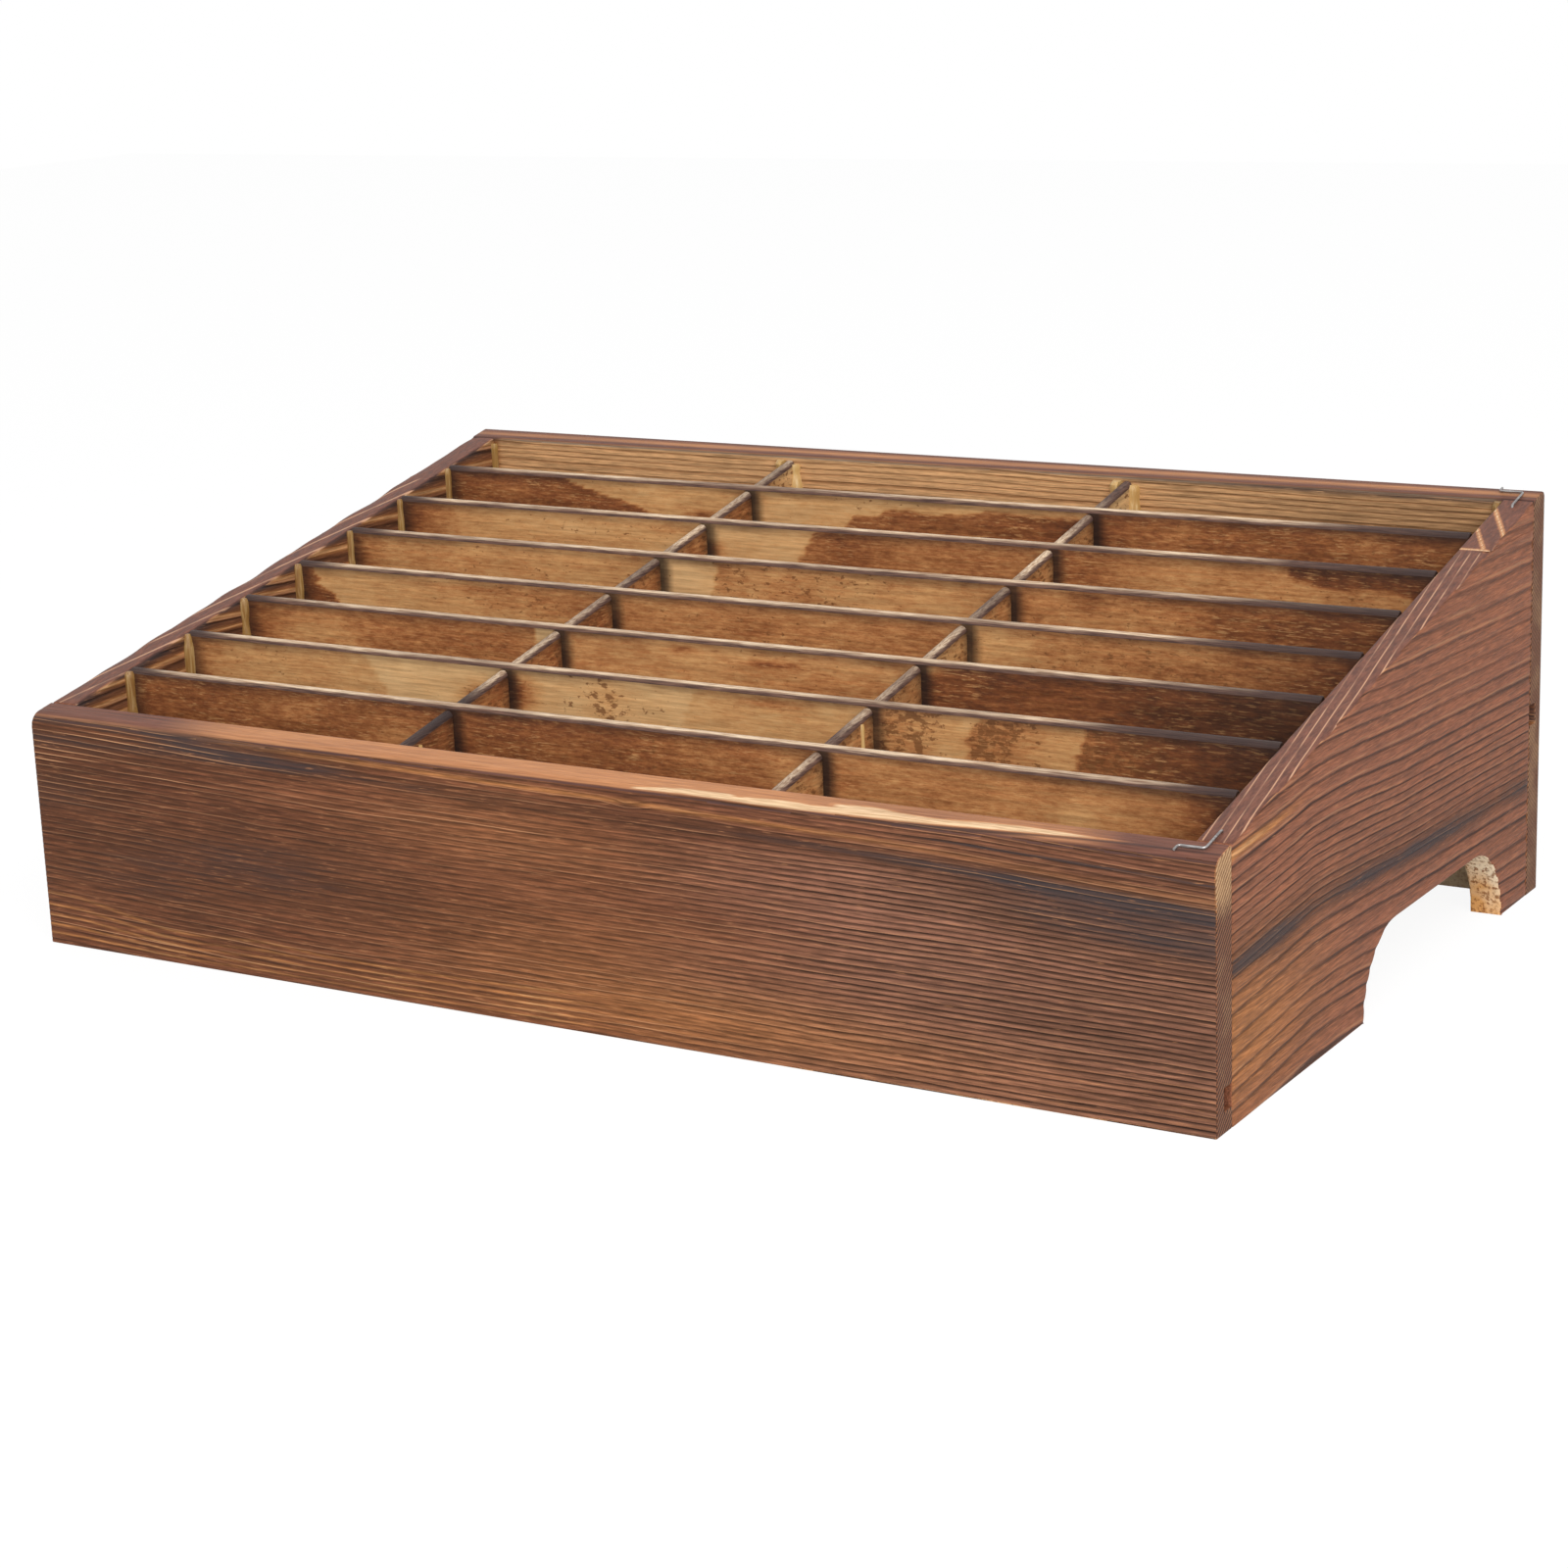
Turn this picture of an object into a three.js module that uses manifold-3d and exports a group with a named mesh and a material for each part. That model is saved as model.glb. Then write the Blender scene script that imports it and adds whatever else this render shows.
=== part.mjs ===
// A desk organizer for phones and keys: four softwood boards, a sloping bottom panel and a
// grid of thin plywood dividers whose tops step up towards the back, stapled at the corners.
// Millimetres, +Z up, the front faces -Y, the origin is under the middle of the box on the table.

import * as THREE from "three";
import { mergeVertices } from "three/addons/utils/BufferGeometryUtils.js";
import Module from "manifold-3d";

const wasm = await Module();
wasm.setup();

// Overall size. Heights are taken at the outer faces of the front and back boards.
const width = 360;
const depth = 221;
const frontHeight = 66.5;
const backHeight = 114.5;

// Boards
const boardThickness = 9;
const frontFootLength = 81.3; // side board's foot in front of the arch
const rearFootLength = 20.2; // side board's foot behind the arch
const archHeight = 22.3; // also the radius of the arch's round ends
const stripHeight = 7.6; // glued-on strip, at the back board

// Divider grid
const columnCount = 3;
const rowCount = 8;
const dividerThickness = 3.2;
const columnDrop = 1; // column dividers lie this far under the slope
const dividerEndGap = 0.2; // glue gap to the boards
const lapSideGap = 0.15; // play beside a divider in its neighbour's slot
const lapHeightGap = 0.3; // play between the ends of two crossing slots

// Bottom panel and the grooves that hold it. Groove heights are taken at their middle.
const panelThickness = 4;
const frontGrooveHeight = 8.3;
const backGrooveHeight = 52.2;
const grooveDepth = 4.5;
const panelGap = 0.3; // play around the panel and under the dividers

// Corner staples: one leg is driven in, the other is folded flat on the end board's top.
const wireDiameter = 0.7;
const crownLength = 9.5;
const foldedLegLength = 6.8;
const bentTipLength = 2.2;
const drivenLegDepth = 4;
const wireBend = 0.9;
const wireGap = 0.3;
const wireSides = 8;
const wireSteps = 44;
const holeSides = 12;

// Derived places. A distance "back" is measured from the front board's outer face.
const innerFront = boardThickness;
const innerBack = depth - boardThickness;
const innerHalfWidth = width / 2 - boardThickness;

const slope = (backHeight - frontHeight) / depth;
const slopeAngle = Math.atan(slope);
const topAt = (back) => frontHeight + slope * back;

const frontGrooveMiddle = innerFront - grooveDepth / 2;
const backGrooveMiddle = innerBack + grooveDepth / 2;
const panelSlope = (backGrooveHeight - frontGrooveHeight) / (backGrooveMiddle - frontGrooveMiddle);
const panelHalfHeight = (panelThickness / 2) * Math.hypot(1, panelSlope);
const panelMiddleAt = (back) => frontGrooveHeight + panelSlope * (back - frontGrooveMiddle);
const dividerFootAt = (back) => panelMiddleAt(back) + panelHalfHeight + panelGap;
const grooveHalfHeight = panelHalfHeight + (panelSlope * grooveDepth) / 2 + panelGap;

const cellWidth = (2 * innerHalfWidth - (columnCount - 1) * dividerThickness) / columnCount;
const cellDepth = (innerBack - innerFront - (rowCount - 1) * dividerThickness) / rowCount;
const columnLeftFace = (number) => -innerHalfWidth + number * cellWidth + (number - 1) * dividerThickness;
const rowFrontFace = (number) => innerFront + number * cellDepth + (number - 1) * dividerThickness;
const rowBackFace = (number) => rowFrontFace(number) + dividerThickness;
const rowTop = (number) => topAt(rowBackFace(number));
const rowFoot = (number) => dividerFootAt(rowBackFace(number));
const lapHeight = (number) => (rowFoot(number) + rowTop(number)) / 2;

const seamHeight = topAt(innerBack) - stripHeight;
const seamStart = (seamHeight - frontHeight) / slope;

const pine = { color: 0x7a5033, roughness: 0.6, metalness: 0 };
const plywood = { color: 0xa87a4a, roughness: 0.65, metalness: 0 };
const bareplywood = { color: 0xc9a878, roughness: 0.7, metalness: 0 };
const steel = { color: 0xc6c6c4, roughness: 0.3, metalness: 1 };

// Booleans

function solidOf(geometry) {
  const bare = geometry.clone();
  bare.deleteAttribute("normal");
  bare.deleteAttribute("uv");
  const merged = mergeVertices(bare, 1e-4);
  return new wasm.Manifold(
    new wasm.Mesh({
      numProp: 3,
      vertProperties: new Float32Array(merged.attributes.position.array),
      triVerts: new Uint32Array(merged.index.array),
    }),
  );
}

function cut(geometry, tools) {
  let solid = solidOf(geometry);
  for (const tool of tools) {
    solid = solid.subtract(solidOf(tool));
  }
  const mesh = solid.getMesh();
  const result = new THREE.BufferGeometry();
  result.setAttribute("position", new THREE.BufferAttribute(mesh.vertProperties, 3));
  result.setIndex(new THREE.BufferAttribute(mesh.triVerts, 1));
  result.computeVertexNormals();
  return result;
}

// Shapes

function outline(points) {
  return new THREE.Shape(points.map(([across, up]) => new THREE.Vector2(across, up)));
}

// A profile drawn in the plane of back and up, extruded from left to right.
function lengthwise(profile, left, right) {
  const geometry = new THREE.ExtrudeGeometry(profile, { depth: right - left, bevelEnabled: false });
  return geometry.rotateX(Math.PI / 2).rotateZ(Math.PI / 2).translate(left, 0, 0);
}

// A profile drawn in the plane of right and up, extruded from front to back.
function crosswise(profile, front, back) {
  const geometry = new THREE.ExtrudeGeometry(profile, { depth: back - front, bevelEnabled: false });
  return geometry.rotateX(Math.PI / 2).translate(0, back, 0);
}

const organizer = new THREE.Group();
const box = new THREE.Group();
box.position.y = -depth / 2;
organizer.add(box);

function addPiece(name, geometry, finish, parent = box) {
  const mesh = new THREE.Mesh(geometry, new THREE.MeshStandardMaterial(finish));
  mesh.name = name;
  parent.add(mesh);
}

// Front and back boards run the full width. Their tops follow the slope, and a groove for the
// bottom panel runs the whole length of each inner face.

function endBoard(outer, inner, grooveHeight) {
  const intoBoard = Math.sign(outer - inner) * grooveDepth;
  const profile = outline([
    [outer, 0],
    [inner, 0],
    [inner, grooveHeight - grooveHalfHeight],
    [inner + intoBoard, grooveHeight - grooveHalfHeight],
    [inner + intoBoard, grooveHeight + grooveHalfHeight],
    [inner, grooveHeight + grooveHalfHeight],
    [inner, topAt(inner)],
    [outer, topAt(outer)],
  ]);
  return lengthwise(profile, -width / 2, width / 2);
}

addPiece("front_board", endBoard(0, innerFront, frontGrooveHeight), pine);
addPiece("back_board", endBoard(depth, innerBack, backGrooveHeight), pine);

// Staples, at the right-hand corners only. A corner's place is where the crown meets the end board,
// on the slope above it: "side" is -1 for left and 1 for right, "inward" is 1 at the front and -1
// at the back.

const corners = [
  { name: "front_right", side: 1, inward: 1, back: innerFront - boardThickness / 2 },
  { name: "back_right", side: 1, inward: -1, back: innerBack + boardThickness / 2 },
];
const stapleOffset = width / 2 - boardThickness / 2;

function cornerFrame(corner) {
  const frame = new THREE.Group();
  frame.position.set(corner.side * stapleOffset, corner.back, topAt(corner.back));
  frame.rotation.x = slopeAngle;
  return frame;
}

function wirePath(corner) {
  const lift = wireGap + wireDiameter / 2;
  const legBack = corner.inward * crownLength;
  const foldedEnd = -corner.side * foldedLegLength;
  const turns = [
    new THREE.Vector3(0, legBack, -drivenLegDepth),
    new THREE.Vector3(0, legBack, lift),
    new THREE.Vector3(0, 0, lift),
    new THREE.Vector3(foldedEnd, 0, lift),
    new THREE.Vector3(foldedEnd, -corner.inward * bentTipLength, lift),
  ];
  const path = new THREE.CurvePath();
  let from = turns[0];
  for (let i = 1; i < turns.length - 1; i += 1) {
    const before = turns[i].clone().sub(turns[i - 1]).setLength(wireBend);
    const after = turns[i + 1].clone().sub(turns[i]).setLength(wireBend);
    const bendStart = turns[i].clone().sub(before);
    const bendEnd = turns[i].clone().add(after);
    path.add(new THREE.LineCurve3(from, bendStart));
    path.add(new THREE.QuadraticBezierCurve3(bendStart, turns[i], bendEnd));
    from = bendEnd;
  }
  path.add(new THREE.LineCurve3(from, turns[turns.length - 1]));
  return path;
}

function wireSection() {
  const points = [];
  for (let i = 0; i < wireSides; i += 1) {
    const angle = ((i + 0.5) / wireSides) * 2 * Math.PI;
    points.push([(wireDiameter / 2) * Math.cos(angle), (wireDiameter / 2) * Math.sin(angle)]);
  }
  return outline(points);
}

// The hole that a driven leg makes, in the frame of the boards.
function legHole(corner) {
  const frame = cornerFrame(corner);
  const radius = wireDiameter / 2 + wireGap;
  const length = drivenLegDepth + wireGap;
  const hole = new THREE.CylinderGeometry(radius, radius, 2 * length, holeSides);
  hole.rotateX(Math.PI / 2).translate(0, corner.inward * crownLength, 0);
  frame.updateMatrix();
  return hole.applyMatrix4(frame.matrix);
}

for (const corner of corners) {
  const frame = cornerFrame(corner);
  const wire = new THREE.ExtrudeGeometry(wireSection(), {
    steps: wireSteps,
    extrudePath: wirePath(corner),
  });
  addPiece(`staple_${corner.name}`, wire, steel, frame);
  box.add(frame);
}

// Side boards stand between the front and back boards. Each has an arch at the table, a groove
// that follows the bottom panel, and a wedge strip glued on to reach the back board's height.

const archFront = innerFront + frontFootLength;
const archBack = innerBack - rearFootLength;

function sideBoardProfile() {
  const profile = outline([[innerFront, 0]]);
  profile.lineTo(archFront, 0);
  profile.absarc(archFront + archHeight, 0, archHeight, Math.PI, Math.PI / 2, true);
  profile.absarc(archBack - archHeight, 0, archHeight, Math.PI / 2, 0, true);
  profile.lineTo(innerBack, 0);
  profile.lineTo(innerBack, seamHeight);
  profile.lineTo(seamStart, seamHeight);
  profile.lineTo(innerFront, topAt(innerFront));
  return profile;
}

function stripProfile() {
  return outline([
    [seamStart, seamHeight],
    [innerBack, seamHeight],
    [innerBack, topAt(innerBack)],
  ]);
}

// A slice along the bottom panel, with the given half height and ends.
function panelProfile(front, back, halfHeight) {
  return outline([
    [front, panelMiddleAt(front) - halfHeight],
    [back, panelMiddleAt(back) - halfHeight],
    [back, panelMiddleAt(back) + halfHeight],
    [front, panelMiddleAt(front) + halfHeight],
  ]);
}

const sideGroove = panelProfile(innerFront - grooveDepth, innerBack + grooveDepth, panelHalfHeight + panelGap);

for (const [sideName, side] of [["left", -1], ["right", 1]]) {
  const left = Math.min(side * innerHalfWidth, (side * width) / 2);
  const right = left + boardThickness;
  const grooveReach = innerHalfWidth + grooveDepth;
  const groove = lengthwise(sideGroove, -grooveReach, grooveReach);
  const ownCorners = corners.filter((corner) => corner.side === side);
  const boardHoles = ownCorners.filter((corner) => corner.inward === 1).map(legHole);
  const stripHoles = ownCorners.filter((corner) => corner.inward === -1).map(legHole);
  const board = lengthwise(sideBoardProfile(), left, right);
  const strip = lengthwise(stripProfile(), left, right);
  addPiece(`${sideName}_side_board`, cut(board, [groove, ...boardHoles]), pine);
  addPiece(`${sideName}_side_top_strip`, cut(strip, stripHoles), pine);
}

// The bottom panel slopes like the top, so that every cell is about equally deep.

const panelInGroove = grooveDepth - panelGap;
const panelHalfWidth = innerHalfWidth + panelInGroove;
const panel = panelProfile(innerFront - panelInGroove, innerBack + panelInGroove, panelHalfHeight);
addPiece("bottom_panel", lengthwise(panel, -panelHalfWidth, panelHalfWidth), bareplywood);

// Row dividers run from side to side and are slotted from below over the column dividers.

function rowDivider(number) {
  const end = innerHalfWidth - dividerEndGap;
  const foot = rowFoot(number);
  const slotTop = lapHeight(number) + lapHeightGap / 2;
  const points = [[-end, foot]];
  for (let column = 1; column < columnCount; column += 1) {
    const slotLeft = columnLeftFace(column) - lapSideGap;
    const slotRight = columnLeftFace(column) + dividerThickness + lapSideGap;
    points.push([slotLeft, foot], [slotLeft, slotTop], [slotRight, slotTop], [slotRight, foot]);
  }
  points.push([end, foot], [end, rowTop(number)], [-end, rowTop(number)]);
  return crosswise(outline(points), rowFrontFace(number), rowBackFace(number));
}

for (let number = 1; number < rowCount; number += 1) {
  addPiece(`row_divider_${number}`, rowDivider(number), plywood);
}

// Column dividers run from front to back and are slotted from above for the row dividers.

function columnDivider(number) {
  const front = innerFront + dividerEndGap;
  const back = innerBack - dividerEndGap;
  const points = [
    [front, dividerFootAt(front)],
    [back, dividerFootAt(back)],
    [back, topAt(back) - columnDrop],
  ];
  for (let row = rowCount - 1; row > 0; row -= 1) {
    const slotFront = rowFrontFace(row) - lapSideGap;
    const slotBack = rowBackFace(row) + lapSideGap;
    const slotFloor = lapHeight(row) - lapHeightGap / 2;
    points.push([slotBack, topAt(slotBack) - columnDrop], [slotBack, slotFloor]);
    points.push([slotFront, slotFloor], [slotFront, topAt(slotFront) - columnDrop]);
  }
  points.push([front, topAt(front) - columnDrop]);
  const leftFace = columnLeftFace(number);
  return lengthwise(outline(points), leftFace, leftFace + dividerThickness);
}

for (let number = 1; number < columnCount; number += 1) {
  addPiece(`column_divider_${number}`, columnDivider(number), plywood);
}

export default organizer;
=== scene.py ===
# %% [markdown]
# # A sloping phone and key box in scorched wood
# The box is four softwood boards around a grid of thin plywood dividers. The wood was scorched
# with a flame, brushed with wire so that the grain stands out, and lacquered. The measured model
# comes first, as a fixed frame: every piece made below takes its place and size from it.

import math

import bmesh
import bpy
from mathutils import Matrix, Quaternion, Vector, noise


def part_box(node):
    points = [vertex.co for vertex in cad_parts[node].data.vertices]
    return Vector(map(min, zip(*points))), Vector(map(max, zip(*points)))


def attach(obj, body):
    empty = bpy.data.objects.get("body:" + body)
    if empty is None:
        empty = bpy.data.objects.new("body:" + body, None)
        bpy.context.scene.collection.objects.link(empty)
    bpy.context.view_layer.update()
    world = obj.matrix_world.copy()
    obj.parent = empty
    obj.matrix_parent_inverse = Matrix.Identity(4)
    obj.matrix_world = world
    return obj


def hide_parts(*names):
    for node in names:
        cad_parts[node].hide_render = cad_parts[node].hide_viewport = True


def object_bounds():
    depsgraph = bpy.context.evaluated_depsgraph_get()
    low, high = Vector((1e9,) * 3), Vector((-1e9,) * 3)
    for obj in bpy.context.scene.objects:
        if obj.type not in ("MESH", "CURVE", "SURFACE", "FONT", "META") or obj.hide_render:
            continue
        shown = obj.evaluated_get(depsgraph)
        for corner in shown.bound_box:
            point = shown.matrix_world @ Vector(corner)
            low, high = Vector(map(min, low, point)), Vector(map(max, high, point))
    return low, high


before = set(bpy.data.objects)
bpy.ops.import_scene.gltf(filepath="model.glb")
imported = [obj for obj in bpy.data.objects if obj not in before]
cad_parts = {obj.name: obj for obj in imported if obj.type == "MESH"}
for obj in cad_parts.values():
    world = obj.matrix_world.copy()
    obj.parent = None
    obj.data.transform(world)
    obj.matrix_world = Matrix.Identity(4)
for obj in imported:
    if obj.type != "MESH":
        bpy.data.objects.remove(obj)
cad_low, cad_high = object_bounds()
print("measured box, mm:", [round(1000 * side, 1) for side in cad_high - cad_low])

# %% [markdown]
# A photographer's camera is set up before anything is built, so that each piece can be judged
# from where the real box was seen: a long lens, a little above the rim, turned a third of a right
# angle to the right. A small roll levels the box as in the picture.

# %% Camera
camera_place = Vector((0.4749, -0.7694, 0.2776))
camera_aim = Vector((0.0168, -0.0296, 0.0476))
camera_roll = math.radians(-2.17)
camera_lens = 76.288

bpy.ops.object.camera_add(location=camera_place)
camera = bpy.context.object
camera.name = "photo_camera"
camera.data.lens = camera_lens
turn = (camera_aim - camera_place).to_track_quat("-Z", "Y") @ Quaternion((0, 0, 1), camera_roll)
camera.rotation_euler = turn.to_euler()
bpy.context.scene.camera = camera
print("camera looks from", [round(c, 3) for c in camera_place])

# %% [markdown]
# The studio is a white room with one big soft lamp. A dark box in a white room could be lit by a
# bright world alone, but then its sides would all be equally bright. So the world gives a modest
# fill, a large lamp in front, above and to the right gives the direction and shines into the
# cells, and what the camera or a gloss sees of the room is plain white.

# %% World and lamp
room_fill = 0.62
lamp_place = Vector((0.9, -1.2, 1.05))
lamp_size = 1.4
lamp_power = 25.0

scene = bpy.context.scene
scene.view_settings.view_transform = "Standard"
world = bpy.data.worlds.new("white_room")
scene.world = world
world.use_nodes = True
room = world.node_tree


def seen_directly(tree):
    """1 for the rays that show the room itself: camera, gloss and glass rays."""
    path = tree.nodes.new("ShaderNodeLightPath")
    shown = path.outputs["Is Camera Ray"]
    for name in ("Is Glossy Ray", "Is Transmission Ray"):
        either = tree.nodes.new("ShaderNodeMath")
        either.operation = "MAXIMUM"
        tree.links.new(shown, either.inputs[0])
        tree.links.new(path.outputs[name], either.inputs[1])
        shown = either.outputs[0]
    return shown


strength = room.nodes.new("ShaderNodeMapRange")
strength.inputs["To Min"].default_value = room_fill
strength.inputs["To Max"].default_value = 1.0
room.links.new(seen_directly(room), strength.inputs["Value"])
room.links.new(strength.outputs[0], room.nodes["Background"].inputs["Strength"])
room.nodes["Background"].inputs["Color"].default_value = (1, 1, 1, 1)

bpy.ops.object.light_add(type="AREA", location=lamp_place)
lamp = bpy.context.object
lamp.name = "soft_lamp"
lamp.data.size = lamp_size
lamp.data.energy = lamp_power
lamp.rotation_euler = (camera_aim - lamp_place).to_track_quat("-Z", "Y").to_euler()
print("room fill", room_fill, "lamp", lamp_power, "W")

# %% [markdown]
# The floor is white paper that still takes the box's soft shadow. A plain white floor comes out
# grey at its far end, so a share of its white is shown straight to the camera and the rest is
# ordinary paper under the lamp.

# %% Floor
floor_size = 5.0
paper_white = 0.88
paper_glow = 1.04
paper_colour = 0.93
paper_roughness = 0.9

bpy.ops.object.select_all(action="DESELECT")
bpy.ops.mesh.primitive_plane_add(size=floor_size, location=(0, 0, 0))
floor = bpy.context.object
floor.name = "paper_floor"
paper = bpy.data.materials.new("white_paper")
paper.use_nodes = True
sheet = paper.node_tree
paper_shader = sheet.nodes["Principled BSDF"]
paper_shader.inputs["Base Color"].default_value = (paper_colour, paper_colour, paper_colour, 1)
paper_shader.inputs["Roughness"].default_value = paper_roughness
paper_shader.inputs["Specular IOR Level"].default_value = 0.0
glow = sheet.nodes.new("ShaderNodeEmission")
glow.inputs["Strength"].default_value = paper_glow
blend = sheet.nodes.new("ShaderNodeMixShader")
share = sheet.nodes.new("ShaderNodeMath")
share.operation = "MULTIPLY"
share.inputs[1].default_value = paper_white
sheet.links.new(seen_directly(sheet), share.inputs[0])
sheet.links.new(share.outputs[0], blend.inputs["Fac"])
sheet.links.new(paper_shader.outputs[0], blend.inputs[1])
sheet.links.new(glow.outputs[0], blend.inputs[2])
sheet.links.new(blend.outputs[0], sheet.nodes["Material Output"].inputs["Surface"])
floor.data.materials.append(paper)
print("floor", floor_size, "m")

# %% [markdown]
# Sizes are read from the measured pieces: the slope of the rim from the tops of the end boards,
# and the arch from the corners of a side board's foot. The shapes that follow are worked out from
# these, so a changed model changes them too.

# %% Sizes from the model
mm = 0.001
same_place = 0.1 * mm
front_low, front_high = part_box("front_board")
back_low, back_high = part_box("back_board")
board = front_high.y - front_low.y
rim_slope = (back_high.z - front_high.z) / (back_high.y - front_high.y)
rim_normal = Vector((0, -rim_slope, 1)).normalized()


def rim_height(y):
    """Height of the sloping rim above the table."""
    return back_high.z + rim_slope * (y - back_high.y)


side_corners = [corner.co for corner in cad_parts["right_side_board"].data.vertices]
foot_ends = sorted({round(corner.y, 5) for corner in side_corners if corner.z < same_place})
arch_front, arch_back = foot_ends[1], foot_ends[2]
arch_height = max(
    corner.z for corner in side_corners
    if arch_front < corner.y < arch_back and corner.z < rim_height(front_low.y) / 2
    and corner.x > cad_high.x - board / 3
)
print("board", round(board / mm, 2), "rim slope", round(rim_slope, 4),
      "arch", round((arch_back - arch_front) / mm, 1), "by", round(arch_height / mm, 1))

# %% [markdown]
# Every wooden piece starts as a block, the way it starts at the saw bench. The helpers below are
# the saw, the chisel and the sandpaper: one adds a block at its size and place, one saws along a
# plane, one takes another block out of it, and one eases sharp edges.

# %% Block, saw and chisel


def add_block(name, low, high):
    """A block between two corners, with its place in its mesh."""
    bpy.ops.object.select_all(action="DESELECT")
    bpy.ops.mesh.primitive_cube_add(size=1, location=(Vector(low) + Vector(high)) / 2)
    block = bpy.context.object
    block.name = name
    block.data.name = name
    block.scale = Vector(high) - Vector(low)
    bpy.ops.object.transform_apply(location=True, rotation=True, scale=True)
    return block


def saw_off(block, point, normal):
    """Saws along a plane and drops the side that the normal points to."""
    bpy.context.view_layer.objects.active = block
    bpy.ops.object.mode_set(mode="EDIT")
    bpy.ops.mesh.select_all(action="SELECT")
    bpy.ops.mesh.bisect(plane_co=point, plane_no=normal, use_fill=True, clear_outer=True)
    bpy.ops.object.mode_set(mode="OBJECT")


def take_out(block, tool):
    """Takes one block out of another, and puts the tool away."""
    bpy.context.view_layer.objects.active = block
    cut = block.modifiers.new("cut", "BOOLEAN")
    cut.operation = "DIFFERENCE"
    cut.object = tool
    cut.solver = "EXACT"
    bpy.ops.object.modifier_apply(modifier=cut.name)
    bpy.data.objects.remove(tool)


def ease_edges(block, width, steps, wanted):
    """Rounds the edges that the test picks."""
    bpy.context.view_layer.objects.active = block
    bpy.ops.object.mode_set(mode="EDIT")
    bpy.ops.mesh.select_mode(type="EDGE")
    bpy.ops.mesh.select_all(action="DESELECT")
    mesh = bmesh.from_edit_mesh(block.data)
    for edge in mesh.edges:
        edge.select_set(len(edge.link_faces) == 2 and wanted(edge))
    bmesh.update_edit_mesh(block.data)
    bpy.ops.mesh.bevel(offset=width, segments=steps, affect="EDGES")
    bpy.ops.object.mode_set(mode="OBJECT")


def is_sharp(edge):
    """A corner that a hand would feel."""
    return edge.calc_face_angle() > math.radians(40)


def is_long(edge, axis, least=mm):
    """An edge that runs along an axis for more than a length."""
    return abs(edge.verts[0].co[axis] - edge.verts[1].co[axis]) > least


print("tools ready: block, saw, chisel and sandpaper")

# %% [markdown]
# Relief and scorch marks need points to sit on, so a finished block is sliced finely: along the
# grain every few millimetres, across it several times per growth ring. Subdividing would slice
# each face by its own corners; sawing by planes gives the same even spacing on every face.

# %% Even slices
along_x, along_y, along_z = 0, 1, 2


def slice_evenly(block, axis, spacing, above=None):
    """Saws a piece into even slices along an axis without parting it, or only above a place."""
    normal = Vector((0, 0, 0))
    normal[axis] = 1
    places = [corner.co[axis] for corner in block.data.vertices]
    start, end = min(places) if above is None else above, max(places)
    count = max(1, round((end - start) / spacing))
    bpy.context.view_layer.objects.active = block
    bpy.ops.object.mode_set(mode="EDIT")
    for number in range(1, count):
        bpy.ops.mesh.select_all(action="SELECT")
        place = start + (end - start) * number / count
        bpy.ops.mesh.bisect(plane_co=normal * place, plane_no=normal)
    bpy.ops.object.mode_set(mode="OBJECT")


def slice_all_ways(block, spacings):
    """Slices a piece along one axis after the other."""
    for axis, spacing in spacings.items():
        slice_evenly(block, axis, spacing)


def smooth_faces(piece, corner=35):
    """Smooth faces, with corners of more than so many degrees kept sharp."""
    bpy.ops.object.select_all(action="DESELECT")
    piece.select_set(True)
    bpy.context.view_layer.objects.active = piece
    bpy.ops.object.shade_smooth_by_angle(angle=math.radians(corner))


print("slices run along axes", along_x, along_y, along_z)

# %% [markdown]
# The front and back boards run the full width. Each is a block with its top sawn to the slope and
# a groove along the inner face that holds the bottom panel. The outer top edge was rounded over
# with a plane, most at the front where hands reach in, and the other edges were only eased.

# %% Front and back boards
end_board_slices = {along_z: 0.33 * mm, along_y: 0.5 * mm, along_x: 4 * mm}
outer_round = {"front_board": 3.2 * mm, "back_board": 2.0 * mm}
inner_round = {"front_board": 0.9 * mm, "back_board": 1.5 * mm}
eased_edge = 0.45 * mm
round_steps, eased_steps = 5, 2
on_edge = 0.05 * mm


def groove_of(node):
    """Lowest and highest corner of the groove in an end board, read from its end."""
    low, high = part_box(node)
    upper_part = low.z + 0.6 * (high.z - low.z)
    inside = [corner.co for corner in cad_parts[node].data.vertices
              if low.y + mm < corner.co.y < high.y - mm and corner.co.z < upper_part]
    heights = [corner.z for corner in inside]
    bed = inside[0].y
    mouth = high.y if node == "front_board" else low.y
    reach = Vector((2 * high.x, max(bed, mouth), max(heights)))
    return Vector((-2 * high.x, min(bed, mouth), min(heights))), reach


def make_end_board(node):
    low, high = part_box(node)
    piece = add_block(node + "_wood", low, high)
    saw_off(piece, Vector((0, high.y, rim_height(high.y))), rim_normal)
    groove_low, groove_high = groove_of(node)
    if node == "front_board":
        groove_high.y += mm
    else:
        groove_low.y -= mm
    take_out(piece, add_block("groove_tool", groove_low, groove_high))
    top = rim_height(low.y) - same_place
    outer, inner = (low.y, high.y) if node == "front_board" else (high.y, low.y)
    for place, width in ((outer, outer_round[node]), (inner, inner_round[node])):
        ease_edges(piece, width, round_steps, lambda edge: is_sharp(edge) and all(
            corner.co.z > top and abs(corner.co.y - place) < on_edge for corner in edge.verts))
    ease_edges(piece, eased_edge, eased_steps, is_sharp)
    slice_all_ways(piece, end_board_slices)
    return piece


front_board = make_end_board("front_board")
back_board = make_end_board("back_board")
print("end boards:", len(front_board.data.polygons), "and", len(back_board.data.polygons), "faces")

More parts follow.
